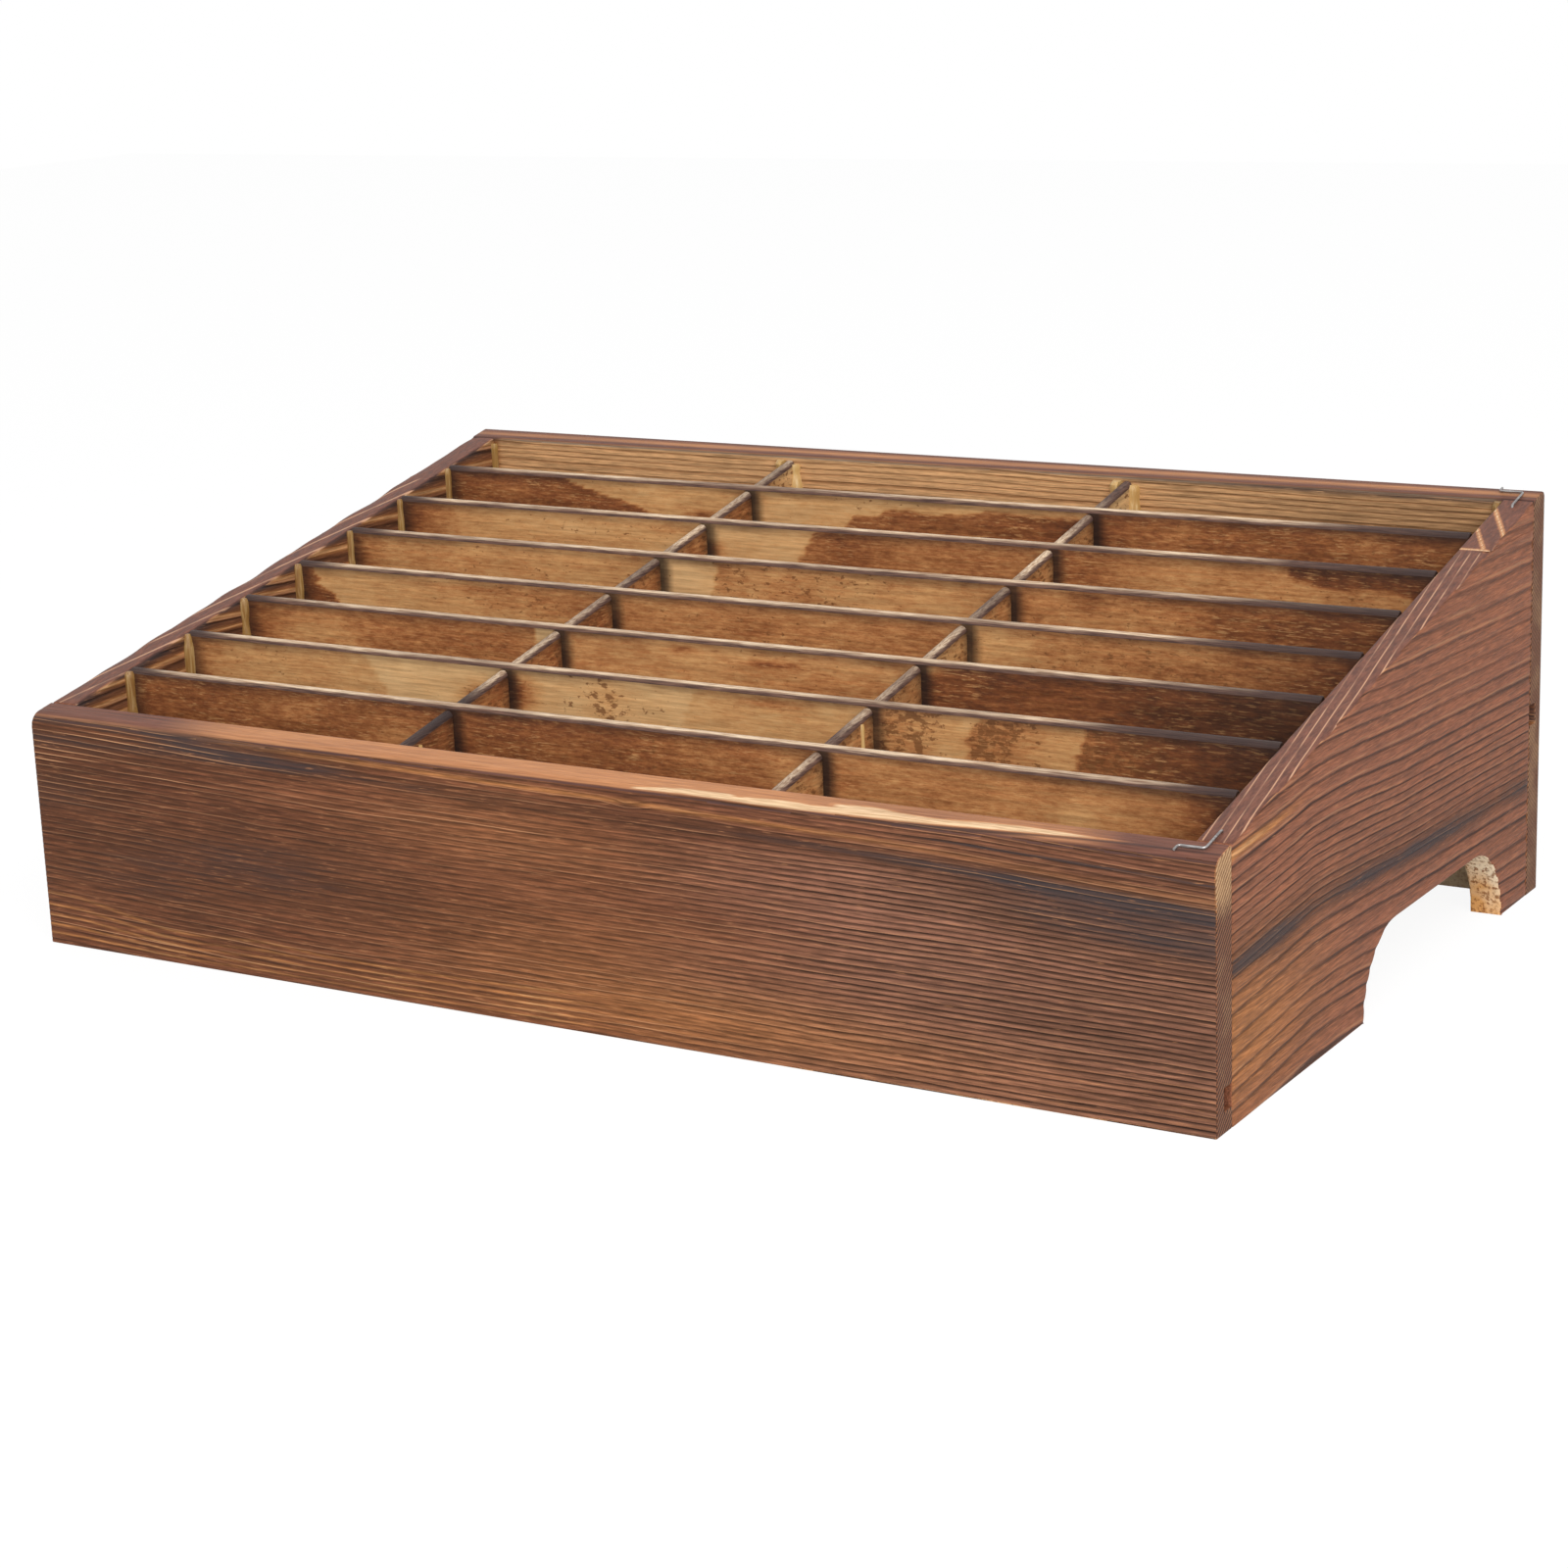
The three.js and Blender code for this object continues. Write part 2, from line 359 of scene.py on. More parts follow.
# %% [markdown]
# The side boards stand between the end boards. Their outline is a block sawn to the slope, with an
# arch at the table. The arch tool is a block too: its two upper edges are rounded with a radius
# as large as the arch is high, which gives the quarter circles at both ends in one step.

# %% Side boards and their top strips
side_slices = {along_z: 0.5 * mm, along_x: 0.9 * mm, along_y: 3 * mm}
strip_slices = {along_z: 0.5 * mm, along_x: 0.9 * mm, along_y: 0.8 * mm}
arch_steps, rim_steps = 14, 3
side_rim_round, strip_rim_round = 0.9 * mm, 0.7 * mm
side_rim_least, strip_rim_least = 50 * mm, 20 * mm
side_edge = 0.35 * mm
panel_low, panel_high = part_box("bottom_panel")
panel_gap = 0.3 * mm


def heights_at(node, y):
    """Lowest and highest point of a measured piece at its front or back end."""
    found = [corner.co.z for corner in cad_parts[node].data.vertices
             if abs(corner.co.y - y) < same_place]
    return min(found), max(found)


def make_arch_tool(node):
    low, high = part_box(node)
    tool_low = (low.x - board, arch_front, -board)
    tool = add_block("arch_tool", tool_low, (high.x + board, arch_back, arch_height))
    ease_edges(tool, arch_height - 0.01 * mm, arch_steps, lambda edge: (
        all(corner.co.z > arch_height / 2 for corner in edge.verts) and not is_long(edge, along_y)))
    return tool


def make_groove_tool():
    """A block as wide as the panel, with its back end raised to the panel's slope."""
    lowest, highest = heights_at("bottom_panel", panel_low.y)
    rise_to_back = heights_at("bottom_panel", panel_high.y)[0] - lowest
    low = Vector((panel_low.x - panel_gap, panel_low.y, lowest - panel_gap))
    high = Vector((panel_high.x + panel_gap, panel_high.y, highest + panel_gap))
    tool = add_block("panel_tool", low, high)
    bpy.ops.object.mode_set(mode="EDIT")
    bpy.ops.mesh.select_mode(type="VERT")
    bpy.ops.mesh.select_all(action="DESELECT")
    mesh = bmesh.from_edit_mesh(tool.data)
    for corner in mesh.verts:
        corner.select_set(corner.co.y > 0)
    mesh.select_flush(True)
    bmesh.update_edit_mesh(tool.data)
    bpy.ops.transform.translate(value=(0, 0, rise_to_back))
    bpy.ops.object.mode_set(mode="OBJECT")
    return tool


def is_rim_edge(edge, least):
    """A sharp edge of the sloping rim that runs back for more than a length."""
    at_rim = all(abs(corner.co.z - rim_height(corner.co.y)) < same_place for corner in edge.verts)
    return at_rim and is_sharp(edge) and is_long(edge, along_y, least)


def sloping_block(node):
    """A block as large as a measured piece, with its top sawn to the slope of the rim."""
    piece = add_block(node + "_wood", *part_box(node))
    saw_off(piece, Vector((0, 0, rim_height(0))), rim_normal)
    return piece


def make_side_board(node):
    piece = sloping_block(node)
    take_out(piece, make_arch_tool(node))
    take_out(piece, make_groove_tool())
    ease_edges(piece, side_rim_round, rim_steps, lambda edge: is_rim_edge(edge, side_rim_least))
    ease_edges(piece, side_edge, eased_steps, is_sharp)
    slice_all_ways(piece, side_slices)
    return piece


def make_top_strip(node):
    piece = sloping_block(node)
    ease_edges(piece, strip_rim_round, rim_steps, lambda edge: is_rim_edge(edge, strip_rim_least))
    slice_all_ways(piece, strip_slices)
    return piece


left_board = make_side_board("left_side_board")
right_board = make_side_board("right_side_board")
left_strip = make_top_strip("left_side_top_strip")
right_strip = make_top_strip("right_side_top_strip")
print("side boards:", len(left_board.data.polygons), "and", len(right_board.data.polygons), "faces")

# %% [markdown]
# What makes this box is its grain. A board's growth rings are one set of layers through the whole
# board, so a ring that shows on the face runs on over the edge. Each board therefore gets a ring
# count at every point, written to the mesh as an attribute, with four more marks beside it: how
# strongly the rings stand out, how far the flame got, where the wood is worn pale, and where thin
# pale streaks run. A texture alone couldn't follow the board round its corners like this.

# %% Tools for grain and scorch marks
marks = ("rings", "ridge", "char", "worn", "streak")


def rise(value, start, end):
    """0 before start, 1 after end, and a smooth step between them."""
    share = min(max((value - start) / (end - start), 0.0), 1.0)
    return share * share * (3 - 2 * share)


def wander(a, b, size, seed):
    """Smooth noise from about -1 to 1 that changes over about size."""
    return noise.noise(Vector((a / size, b / size, seed * 7.31)))


def patch(a, b, middle, reach):
    """A soft round patch, 1 in its middle."""
    return math.exp(-((a - middle[0]) / reach[0]) ** 2 - ((b - middle[1]) / reach[1]) ** 2)


def stripe(distance, half_width):
    """A soft stripe, 1 along its middle line."""
    return math.exp(-(distance / half_width) ** 2)


def between(value, points):
    """Reads a curve that is given by a few measured points."""
    if value <= points[0][0]:
        return points[0][1]
    for (start, low), (end, high) in zip(points, points[1:]):
        if value <= end:
            return low + (high - low) * (value - start) / (end - start)
    return points[-1][1]


def ring_groove(rings):
    """How deep the brush and the flame left each ring's dark line, 0 to 1, as a soft wave."""
    return (0.5 + 0.5 * math.cos(2 * math.pi * (rings - 0.84))) ** 2


def write_values(piece, values):
    """Writes one list of numbers per mark to the mesh."""
    for name, numbers in values.items():
        attribute = piece.data.attributes.new(name, "FLOAT", "POINT")
        attribute.data.foreach_set("value", numbers)


def write_marks(piece, look):
    """Writes the marks of every point, and sinks the dark lines by the depth that look gives."""
    mesh = piece.data
    written = {name: [] for name in marks}
    places = []
    for corner in mesh.vertices:
        right, back, up = corner.co.x / mm, (corner.co.y - front_low.y) / mm, corner.co.z / mm
        here = look(right, back, up, corner.normal)
        for name in marks:
            written[name].append(here[name])
        sunk = (here["depth"] * ring_groove(here["rings"]) + here.get("dent", 0)) * mm
        places.extend(corner.co - corner.normal * sunk)
    write_values(piece, written)
    mesh.vertices.foreach_set("co", places)
    mesh.update()
    smooth_faces(piece, 60)


print("marks written per point:", ", ".join(marks))

# %% [markdown]
# The front board is cut so that its rings meet the face in fine level lines. They sink towards the
# right, most near the top, where the rings are wider. The right third was brushed hardest and is
# ribbed. The flame left a brown cloud at the left and a blue-grey band under the top edge, and it
# missed a wavy strip of cream sapwood on the top. A few measured points give each of these curves.

# %% Front board's curves
front_ring_pitch = 1.65
front_line_start = 0.42
front_sink = [(-180, 0), (-95, 3), (-35, 4.5), (31, 5), (82, 6), (118, 7), (150, 9), (180, 10.5)]
smoky_band = [(-180, 65), (-133, 64), (-80, 61.2), (-35, 59.4), (31, 59), (82, 58), (118, 56.9),
              (150, 54.8), (180, 53.3)]
orange_band = [(-150, 66.5), (-93, 65), (-34, 64), (20, 63.2), (44, 62.4), (90, 61.4), (120, 60),
               (150, 58), (180, 56.6)]
upper_dark_line = [(60, 64.4), (100, 63.6), (136, 62.6), (180, 60.6)]
lower_line = [(-180, 11.6), (-167, 11.3), (-152, 9.3), (-139, 7.6), (-126, 7), (-101, 8.1),
              (-80, 7.1), (-57, 6.9), (-23, 7.3), (21, 8.4), (90, 9)]
lower_line_shares = (1.0, 0.74, 0.5, 0.28, 1.3)
cream_low = [(20, 1.6), (37, 2.0), (59, 1.3), (96, 1.6), (111, 2.1), (126, 2.8), (139, 3.5),
             (160, 4.2)]
cream_high = [(20, 1.7), (36, 3.7), (48, 3.9), (50, 2.6), (57, 3.5), (66, 4.0), (73, 3.1),
              (77, 3.7), (80, 5.4), (89, 6.1), (94, 5.2), (102, 4.4), (110, 4.4), (117, 5.2),
              (128, 5.6), (160, 4.4)]
knot = (20.8, 62.8)
print("front board: knot at", knot, "mm, smoky band at", smoky_band[0][1], "to", smoky_band[-1][1])

# %% [markdown]
# The curves are now read point by point. In these functions u runs to the right, d to the back and
# v up, all in millimetres. Each kind of mark has a function of its own, and the last one puts them
# together: it sees from the normal whether a point lies on the face, the top, the inside or the end.

# %% Front board's grain


def front_level(u, d, v):
    """Height of a point above the ring that meets the lower left corner."""
    sink = between(u, front_sink)
    level = v + 0.8 * d + min(sink, 3) + max(sink - 3, 0) * (v / 60) ** 2
    level += 0.55 * wander(u, 5 * v, 48, 1) + 0.25 * wander(u, 9 * v, 17, 2)
    return level + 1.6 * patch(u, v, knot, (5, 2))


def front_char(u, v):
    """How far the flame got on the front face."""
    band = between(u, smoky_band)
    char = 0.14 + 0.47 * patch(u, v, (-100, 33), (62, 17)) + 0.3 * patch(u, v, (-172, 45), (30, 22))
    char += 0.1 * (1 - rise(u, -110, -20))
    to_right = rise(u, 0, 80)
    smoky = 0.42 + 0.2 * to_right + 0.2 * wander(u, 0, 35, 7)
    char += smoky * stripe(v - band, 2.6 - 0.7 * to_right) * rise(u, -165, -120)
    char += 0.34 * stripe(v - 60.5, 3.2) * (1 - rise(u, -100, -50))
    char += 0.62 * rise(u, 80, 140) * stripe(v - band + 6, 8)
    char += 0.7 * rise(u, 70, 120) * stripe(v - between(u, upper_dark_line), 0.55)
    char += 0.3 * patch(u, v, (155, 23), (48, 8))
    char += 0.4 * stripe(v - 65.6, 1.0) + 0.6 * patch(u, v, knot, (1.6, 0.9))
    char += 0.08 * rise(u, 40, 120)
    return char + 0.16 * wander(u, 4 * v, 55, 4)


def front_top_worn(u, d):
    """How much wood the hands laid bare on the top: 0.5 is tan and 1 is the cream sapwood."""
    tan = 0.5 * rise(u, -150, -105) * (1 - rise(u, 138, 166))
    tan *= (0.9 + 0.2 * wander(u, 6 * d, 30, 6)) * rise(d, 0.6, 1.9)
    tan *= 1 - 0.33 * rise(u, 55, 90)
    cream = rise(d - between(u, cream_low), -0.3, 0.2)
    cream *= 1 - rise(d - between(u, cream_high), -0.3, 0.3)
    return tan + 0.5 * cream * (1 - rise(u, 138, 166))


def front_lines(u, v):
    """Thin pale lines that run along the foot of the front board."""
    height = between(u, lower_line)
    nearest = min(abs(v - share * height) for share in lower_line_shares)
    return stripe(nearest, 0.32) * (1 - 0.8 * rise(u, -20, 90)) * (0.7 + 0.5 * wander(u, 0, 22, 9))


def front_look(u, d, v, normal):
    face = rise(-normal.y, 0.3, 0.8)
    top = rise(normal.z, 0.5, 0.8)
    inner = rise(normal.y, 0.3, 0.9) * rise(d, 7, 8)
    in_groove = rise(normal.y, 0.3, 0.9) - inner
    end = rise(abs(normal.x), 0.5, 0.9)
    brushed = rise(u + 18 * wander(u, 3 * v, 40, 3), 5, 110) * (1 - 0.7 * rise(v, 52, 60))
    orange = stripe(v - between(u, orange_band), 0.6 + 0.6 * rise(u, 60, 150))
    orange *= 0.46 - 0.3 * rise(u, 50, 130)
    orange += 0.26 * patch(u, v, (50, 8), (80, 9)) + 0.12 * patch(u, v, (-20, 50), (50, 10))
    orange += 0.12 * patch(u, v, (0, 22), (60, 14))
    orange = max(orange, 0.95 * front_lines(u, v))
    streak = patch(u, v, (-165, 57), (60, 9)) + 0.8 * patch(u, v, (-110, 9), (95, 5))
    streak += 0.7 * patch(u, v, (30, 8), (60, 6)) + 0.5 * patch(u, v, (0, 52), (70, 5))
    streak += 0.4 - 0.34 * patch(u, v, (-95, 33), (80, 17))
    under_cream = stripe(d - between(u, cream_low) + 0.7, 0.45) * rise(u, 25, 60)
    top_char = top * (0.08 + 0.75 * under_cream)
    top_worn = top * front_top_worn(u, d)
    return {
        "rings": front_level(u, d, v) / front_ring_pitch,
        "ridge": face * (0.5 + 0.5 * brushed) + 0.5 * inner,
        "char": face * front_char(u, v) + top_char + inner * 0.2 + in_groove * 0.8,
        "worn": max(face * orange, top_worn, 0.45 * inner, end * rise(v, 46, 63)),
        "streak": face * streak,
        "depth": face * (0.05 + 0.2 * brushed),
    }


write_marks(front_board, front_look)
print("front board rings every", front_ring_pitch, "mm")

# %% [markdown]
# The back board shows its inner face over the last row of cells: tan, with fine brown bands, hardly
# scorched but darker to the right. Its rear face was cut through wider rings and brushed hard, so
# it is ribbed, which shows in the outline of its end.

# %% Back board's grain
back_ring_pitch = 1.9
rear_ring_pitch = 4.6
back_line_start = 0.5


def back_look(u, d, v, normal):
    rear = rise(normal.y, 0.3, 0.8)
    top = rise(normal.z, 0.5, 0.8)
    inner = rise(-normal.y, 0.3, 0.8)
    end = rise(abs(normal.x), 0.5, 0.9)
    level = v + 0.8 * wander(u, 3 * v, 70, 11) + 0.3 * wander(u, 6 * v, 22, 12) + 0.012 * u
    pitch = rear_ring_pitch if normal.y > 0 else back_ring_pitch
    char = 0.3 + 0.25 * wander(u, 4 * v, 60, 13) + 0.3 * patch(u, v, (-60, 70), (90, 20))
    uneven = 0.5 * inner * wander(level, 0.002 * u, 4, 15)
    in_groove = inner * rise(d, 213, 214)
    below = 1 - rise(v, 44, 52)
    under_rim = stripe(v - 112.5, 1.3)
    shown = (1 - below) * (1 - rise(abs(u), 170.6, 171.2))
    # Painted highlight: a pale band along the middle of the top, carried by the worn mark.
    highlight = stripe(d - 216.3, 1.7) * (0.75 + 0.3 * wander(u, 0, 45, 14))
    inner_char = inner * (0.7 * under_rim + 0.47 * rise(u, 20, 170)) * (1 - below)
    return {
        "rings": level / pitch + uneven,
        "ridge": 0.8 * rear + inner * (0.7 - 0.6 * below),
        "char": max(rear * char + top * 0.25 + inner_char, 0.8 * in_groove),
        "worn": max(0.94 * inner * shown, top * 0.6 * highlight, 0.2 * end),
        "streak": 0.15 * rear + 0.5 * inner * (1 - below),
        "depth": 0.5 * rear + 0.06 * inner,
    }


write_marks(back_board, back_look)
print("back board rings every", back_ring_pitch, "mm inside and", rear_ring_pitch, "mm behind")

# %% [markdown]
# On the side boards the rings lie further apart, and they are the part of the grain that the eye
# follows. So the heights of the dark lines were measured one by one at the front edge, and so was
# the curve that they all follow: up to a crest a quarter of the way back, then down to the rear.
# Between two lines the ring count is spread evenly, and wide rings were brushed deepest. A band in
# the middle took the flame and turned blue-grey, and wood at the front corner stayed orange. Inside
# the box the same rings show as pale bands between dark ones.

# %% Side boards' grain
line_heights = [-2, 3.6, 8.2, 12, 16.1, 20.6, 27.2, 31.5, 36.5, 37.9, 40.2, 42.2, 44.4, 46.7, 49.2,
                51.6, 54, 56.4, 59.2, 62.6, 66.9, 71.3, 76, 79.3, 83.5, 86.9, 92.2, 99.1, 104.6,
                110.1, 116, 122]
line_curve = [(9, 0), (33, -1.6), (57, -3.5), (70, -3.2), (88, -2.2), (115, -0.2), (140, 0.8),
              (212, 3.6)]
side_line_start = 0.71
line_place = 0.88
panel_front_mm = 13
panel_slope = 0.2116
strip_start_mm = 176
ring_counts = [(height, count + line_place) for count, height in enumerate(line_heights)]


def side_look(outer, seed, shift, depth, rim_dent):
    """The marks of one side board; outer is the x of its outer face in mm, shift moves its rings."""
    out = 1 if outer > 0 else -1
    rim_lines = 1.0 if outer > 0 else 0.9

    def look(u, d, v, normal):
        face = rise(out * normal.x, 0.3, 0.8)
        top = rise(normal.z, 0.5, 0.8) * rise(v, 60, 66)
        inner = rise(-out * normal.x, 0.3, 0.8)
        to_rim = rim_height(front_low.y + d * mm) / mm - v
        level = v + between(d, line_curve) + shift
        level += 0.5 * wander(d, 4 * v, 60, seed) + 0.2 * wander(d, 9 * v, 15, seed + 1)
        smoky_level = 36.3 + 2.0 * (1 - rise(d, 10, 60))
        smoky = stripe(level - smoky_level, 2.8) * (0.85 + 0.5 * wander(d, 0, 40, seed + 4))
        smoky += 0.35 * stripe(level - smoky_level - 4, 5)
        smoky += 0.55 * stripe(level - 67.2, 1.2) * rise(d, 130, 190)
        char = 0.1 + 0.75 * smoky + 0.16 * wander(d, 4 * v, 50, seed + 2) - 0.05 * rise(d, 140, 205)
        floor_level = panel_front_mm + panel_slope * (d - 9)
        below = 1 - rise(v, floor_level - 4, floor_level)
        orange = 0.75 * stripe(level - 65.6, 1.1) * (1 - rise(d, 15, 60))
        orange += 0.42 * patch(d, v, (12, 20), (45, 20))
        from_rim = math.hypot(outer - u, to_rim)
        dent = rim_dent * max(0.0, wander(d, 0, 15, 26 * out) + 0.3) * stripe(from_rim, 2.5)
        dent *= rise(normal.z, -0.3, 0.1)
        diagonal = d - 2.0 * abs(outer - u)
        chatter = 0.85 * (stripe(diagonal - 174, 1.2) + stripe(diagonal - 188, 1.4))
        chatter *= rise(d, strip_start_mm, strip_start_mm + 2)
        chatter = max(chatter, 0.9 * stripe(d - 177.9, 0.6)) if outer > 0 else 0
        ring_width = between(level + 1.5, ring_counts) - between(level - 1.5, ring_counts)
        ring_width = 3 / (ring_width + 0.01)
        rings = between(level, ring_counts) + 0.25 * abs(outer - u)
        band = stripe(rings % 1 - 0.33, 0.14)
        inner_char = (0.58 * (1 - band) + 0.4 * stripe(to_rim, 2.2)) * (1 - below)
        face_ridge = 0.9 - 0.4 * rise(v, 58, 80) * rise(d, 80, 150)
        top_lines = rim_lines * top * (1 - rise(d, strip_start_mm - 1, strip_start_mm + 1))
        return {
            "rings": rings,
            "ridge": face * face_ridge + 0.9 * inner * (1 - 0.8 * below),
            "char": face * char + top * 0.15 + inner * inner_char,
            "worn": max(face * orange, inner * (0.15 + 0.7 * band), top * chatter),
            "streak": face * 0.35 + top_lines + 0.8 * inner * (1 - below),
            "depth": depth * face * min(1.0, ring_width / 5) + 0.05 * inner,
            "dent": dent,
        }

    return look


outer_mm = cad_high.x / mm
side_marks = (
    (left_board, -outer_mm, 21, 2.4, 0.45, 0.75),
    (left_strip, -outer_mm, 25, 2.4, 0.4, 0.75),
    (right_board, outer_mm, 31, 0.0, 0.28, 0.4),
    (right_strip, outer_mm, 35, 0.0, 0.25, 0.4),
)
for piece, outer, seed, shift, depth, rim_dent in side_marks:
    write_marks(piece, side_look(outer, seed, shift, depth, rim_dent))
print("side boards marked, outer faces at", round(outer_mm, 1), "mm")

# %% [markdown]
# Materials are drawn as small node graphs. A few helpers keep them short: they add a node and plug
# in its inputs, reckon with values, mix two colours, and give noise that is stretched along the
# grain, since wood fibres are a hundred times longer than they are wide.

# %% Node helpers
bump_strength = 0.7


def add_node(tree, kind, inputs, **settings):
    """Adds a node; an input is a number, a colour or another node's output."""
    new = tree.nodes.new(kind)
    for name, value in settings.items():
        setattr(new, name, value)
    for key, value in inputs.items():
        if isinstance(value, bpy.types.NodeSocket):
            tree.links.new(value, new.inputs[key])
        else:
            new.inputs[key].default_value = value
    return new


def mark(tree, name):
    """A mark that was written to the mesh."""
    return add_node(tree, "ShaderNodeAttribute", {}, attribute_name=name).outputs["Fac"]


def reckon(tree, operation, first, second=0.0, third=0.0):
    """One step of arithmetic."""
    inputs = {0: first, 1: second, 2: third}
    return add_node(tree, "ShaderNodeMath", inputs, operation=operation).outputs[0]


def times(tree, first, *others):
    """Multiplies values, one after the other."""
    for other in others:
        first = reckon(tree, "MULTIPLY", first, other)
    return first


def plus(tree, first, *others):
    """Adds values, one after the other."""
    for other in others:
        first = reckon(tree, "ADD", first, other)
    return first


def scale_to(tree, value, start, end, low=0.0, high=1.0, smooth=False):
    """Moves a value from one range to another and holds it there."""
    kind = "SMOOTHSTEP" if smooth else "LINEAR"
    inputs = {"Value": value, "From Min": start, "From Max": end, "To Min": low, "To Max": high}
    return add_node(tree, "ShaderNodeMapRange", inputs, interpolation_type=kind).outputs[0]


def mix(tree, share, first, second, way="MIX"):
    """Mixes two colours, each a colour or a socket."""
    inputs = {0: share, 6: first, 7: second}
    return add_node(tree, "ShaderNodeMix", inputs, data_type="RGBA", blend_type=way).outputs[2]


def own_place(tree):
    """The place of a point on its own piece, in metres."""
    return add_node(tree, "ShaderNodeTexCoord", {}).outputs["Object"]


def own_axes(tree):
    """The same place as three separate numbers, X, Y and Z."""
    return add_node(tree, "ShaderNodeSeparateXYZ", {0: own_place(tree)}).outputs


def even_noise(tree, per_metre, detail):
    """Noise that is as fine one way as the other."""
    inputs = {"Vector": own_place(tree), "Scale": per_metre, "Detail": detail}
    return add_node(tree, "ShaderNodeTexNoise", inputs).outputs["Fac"]


def grain_noise(tree, along, per_metre_along, per_metre_across, detail, roughness=0.55):
    """Noise that is stretched along the grain axis."""
    stretch = [per_metre_across] * 3
    stretch[along] = per_metre_along
    laid = add_node(tree, "ShaderNodeMapping", {"Vector": own_place(tree), "Scale": stretch})
    inputs = {"Vector": laid.outputs[0], "Scale": 1.0, "Detail": detail, "Roughness": roughness}
    return add_node(tree, "ShaderNodeTexNoise", inputs).outputs["Fac"]


def new_material(name, gloss=0.12):
    """A new material with its gloss level set: thin lacquer on wood reflects little."""
    material = bpy.data.materials.new(name)
    material.use_nodes = True
    shader = material.node_tree.nodes["Principled BSDF"]
    shader.inputs["Specular IOR Level"].default_value = gloss
    return material, material.node_tree, shader


def finish_surface(tree, shader, colour, roughness, height, depth):
    """Plugs colour, roughness and bump into the shader."""
    tree.links.new(colour, shader.inputs["Base Color"])
    tree.links.new(roughness, shader.inputs["Roughness"])
    inputs = {"Height": height, "Strength": bump_strength, "Distance": depth}
    bump = add_node(tree, "ShaderNodeBump", inputs)
    tree.links.new(bump.outputs[0], shader.inputs["Normal"])


def rgb(red, green, blue):
    return (red, green, blue, 1.0)


def vary(tree, colour, value, least, most):
    """Makes a colour darker and lighter with a noise value, whose middle is 0.5."""
    return mix(tree, 1.0, colour, scale_to(tree, value, 0.34, 0.66, least, most), "MULTIPLY")


print("node helpers ready, bump strength", bump_strength)

# %% [markdown]
# Scorched softwood: between two dark lines the wood is brown where the flame passed, orange or cream
# where it was worn, and nearly black where the flame lingered. The ring count gives the lines, its
# whole part gives each ring its own strength, and two layers of fibre noise break everything into
# fine streaks. Just past a dark line the hard wood stands proud and was polished to a thin pale
# line. The lacquer is thin, so the gloss is soft and follows the fibres.

# %% Scorched softwood
soot = rgb(0.046, 0.023, 0.014)
smoke_blue = rgb(0.040, 0.034, 0.036)
bare_orange = rgb(0.40, 0.165, 0.058)
bare_cream = rgb(0.66, 0.38, 0.18)
bare_shade = rgb(0.27, 0.105, 0.036)
polished = rgb(0.56, 0.29, 0.145)


def ring_line(tree, turn, start):
    """A dark line that grows towards the end of each ring and stops short."""
    growing = scale_to(tree, turn, start, 0.86, smooth=True)
    ending = scale_to(tree, turn, 0.91, 1.0, 1.0, 0.0, smooth=True)
    return times(tree, growing, ending)


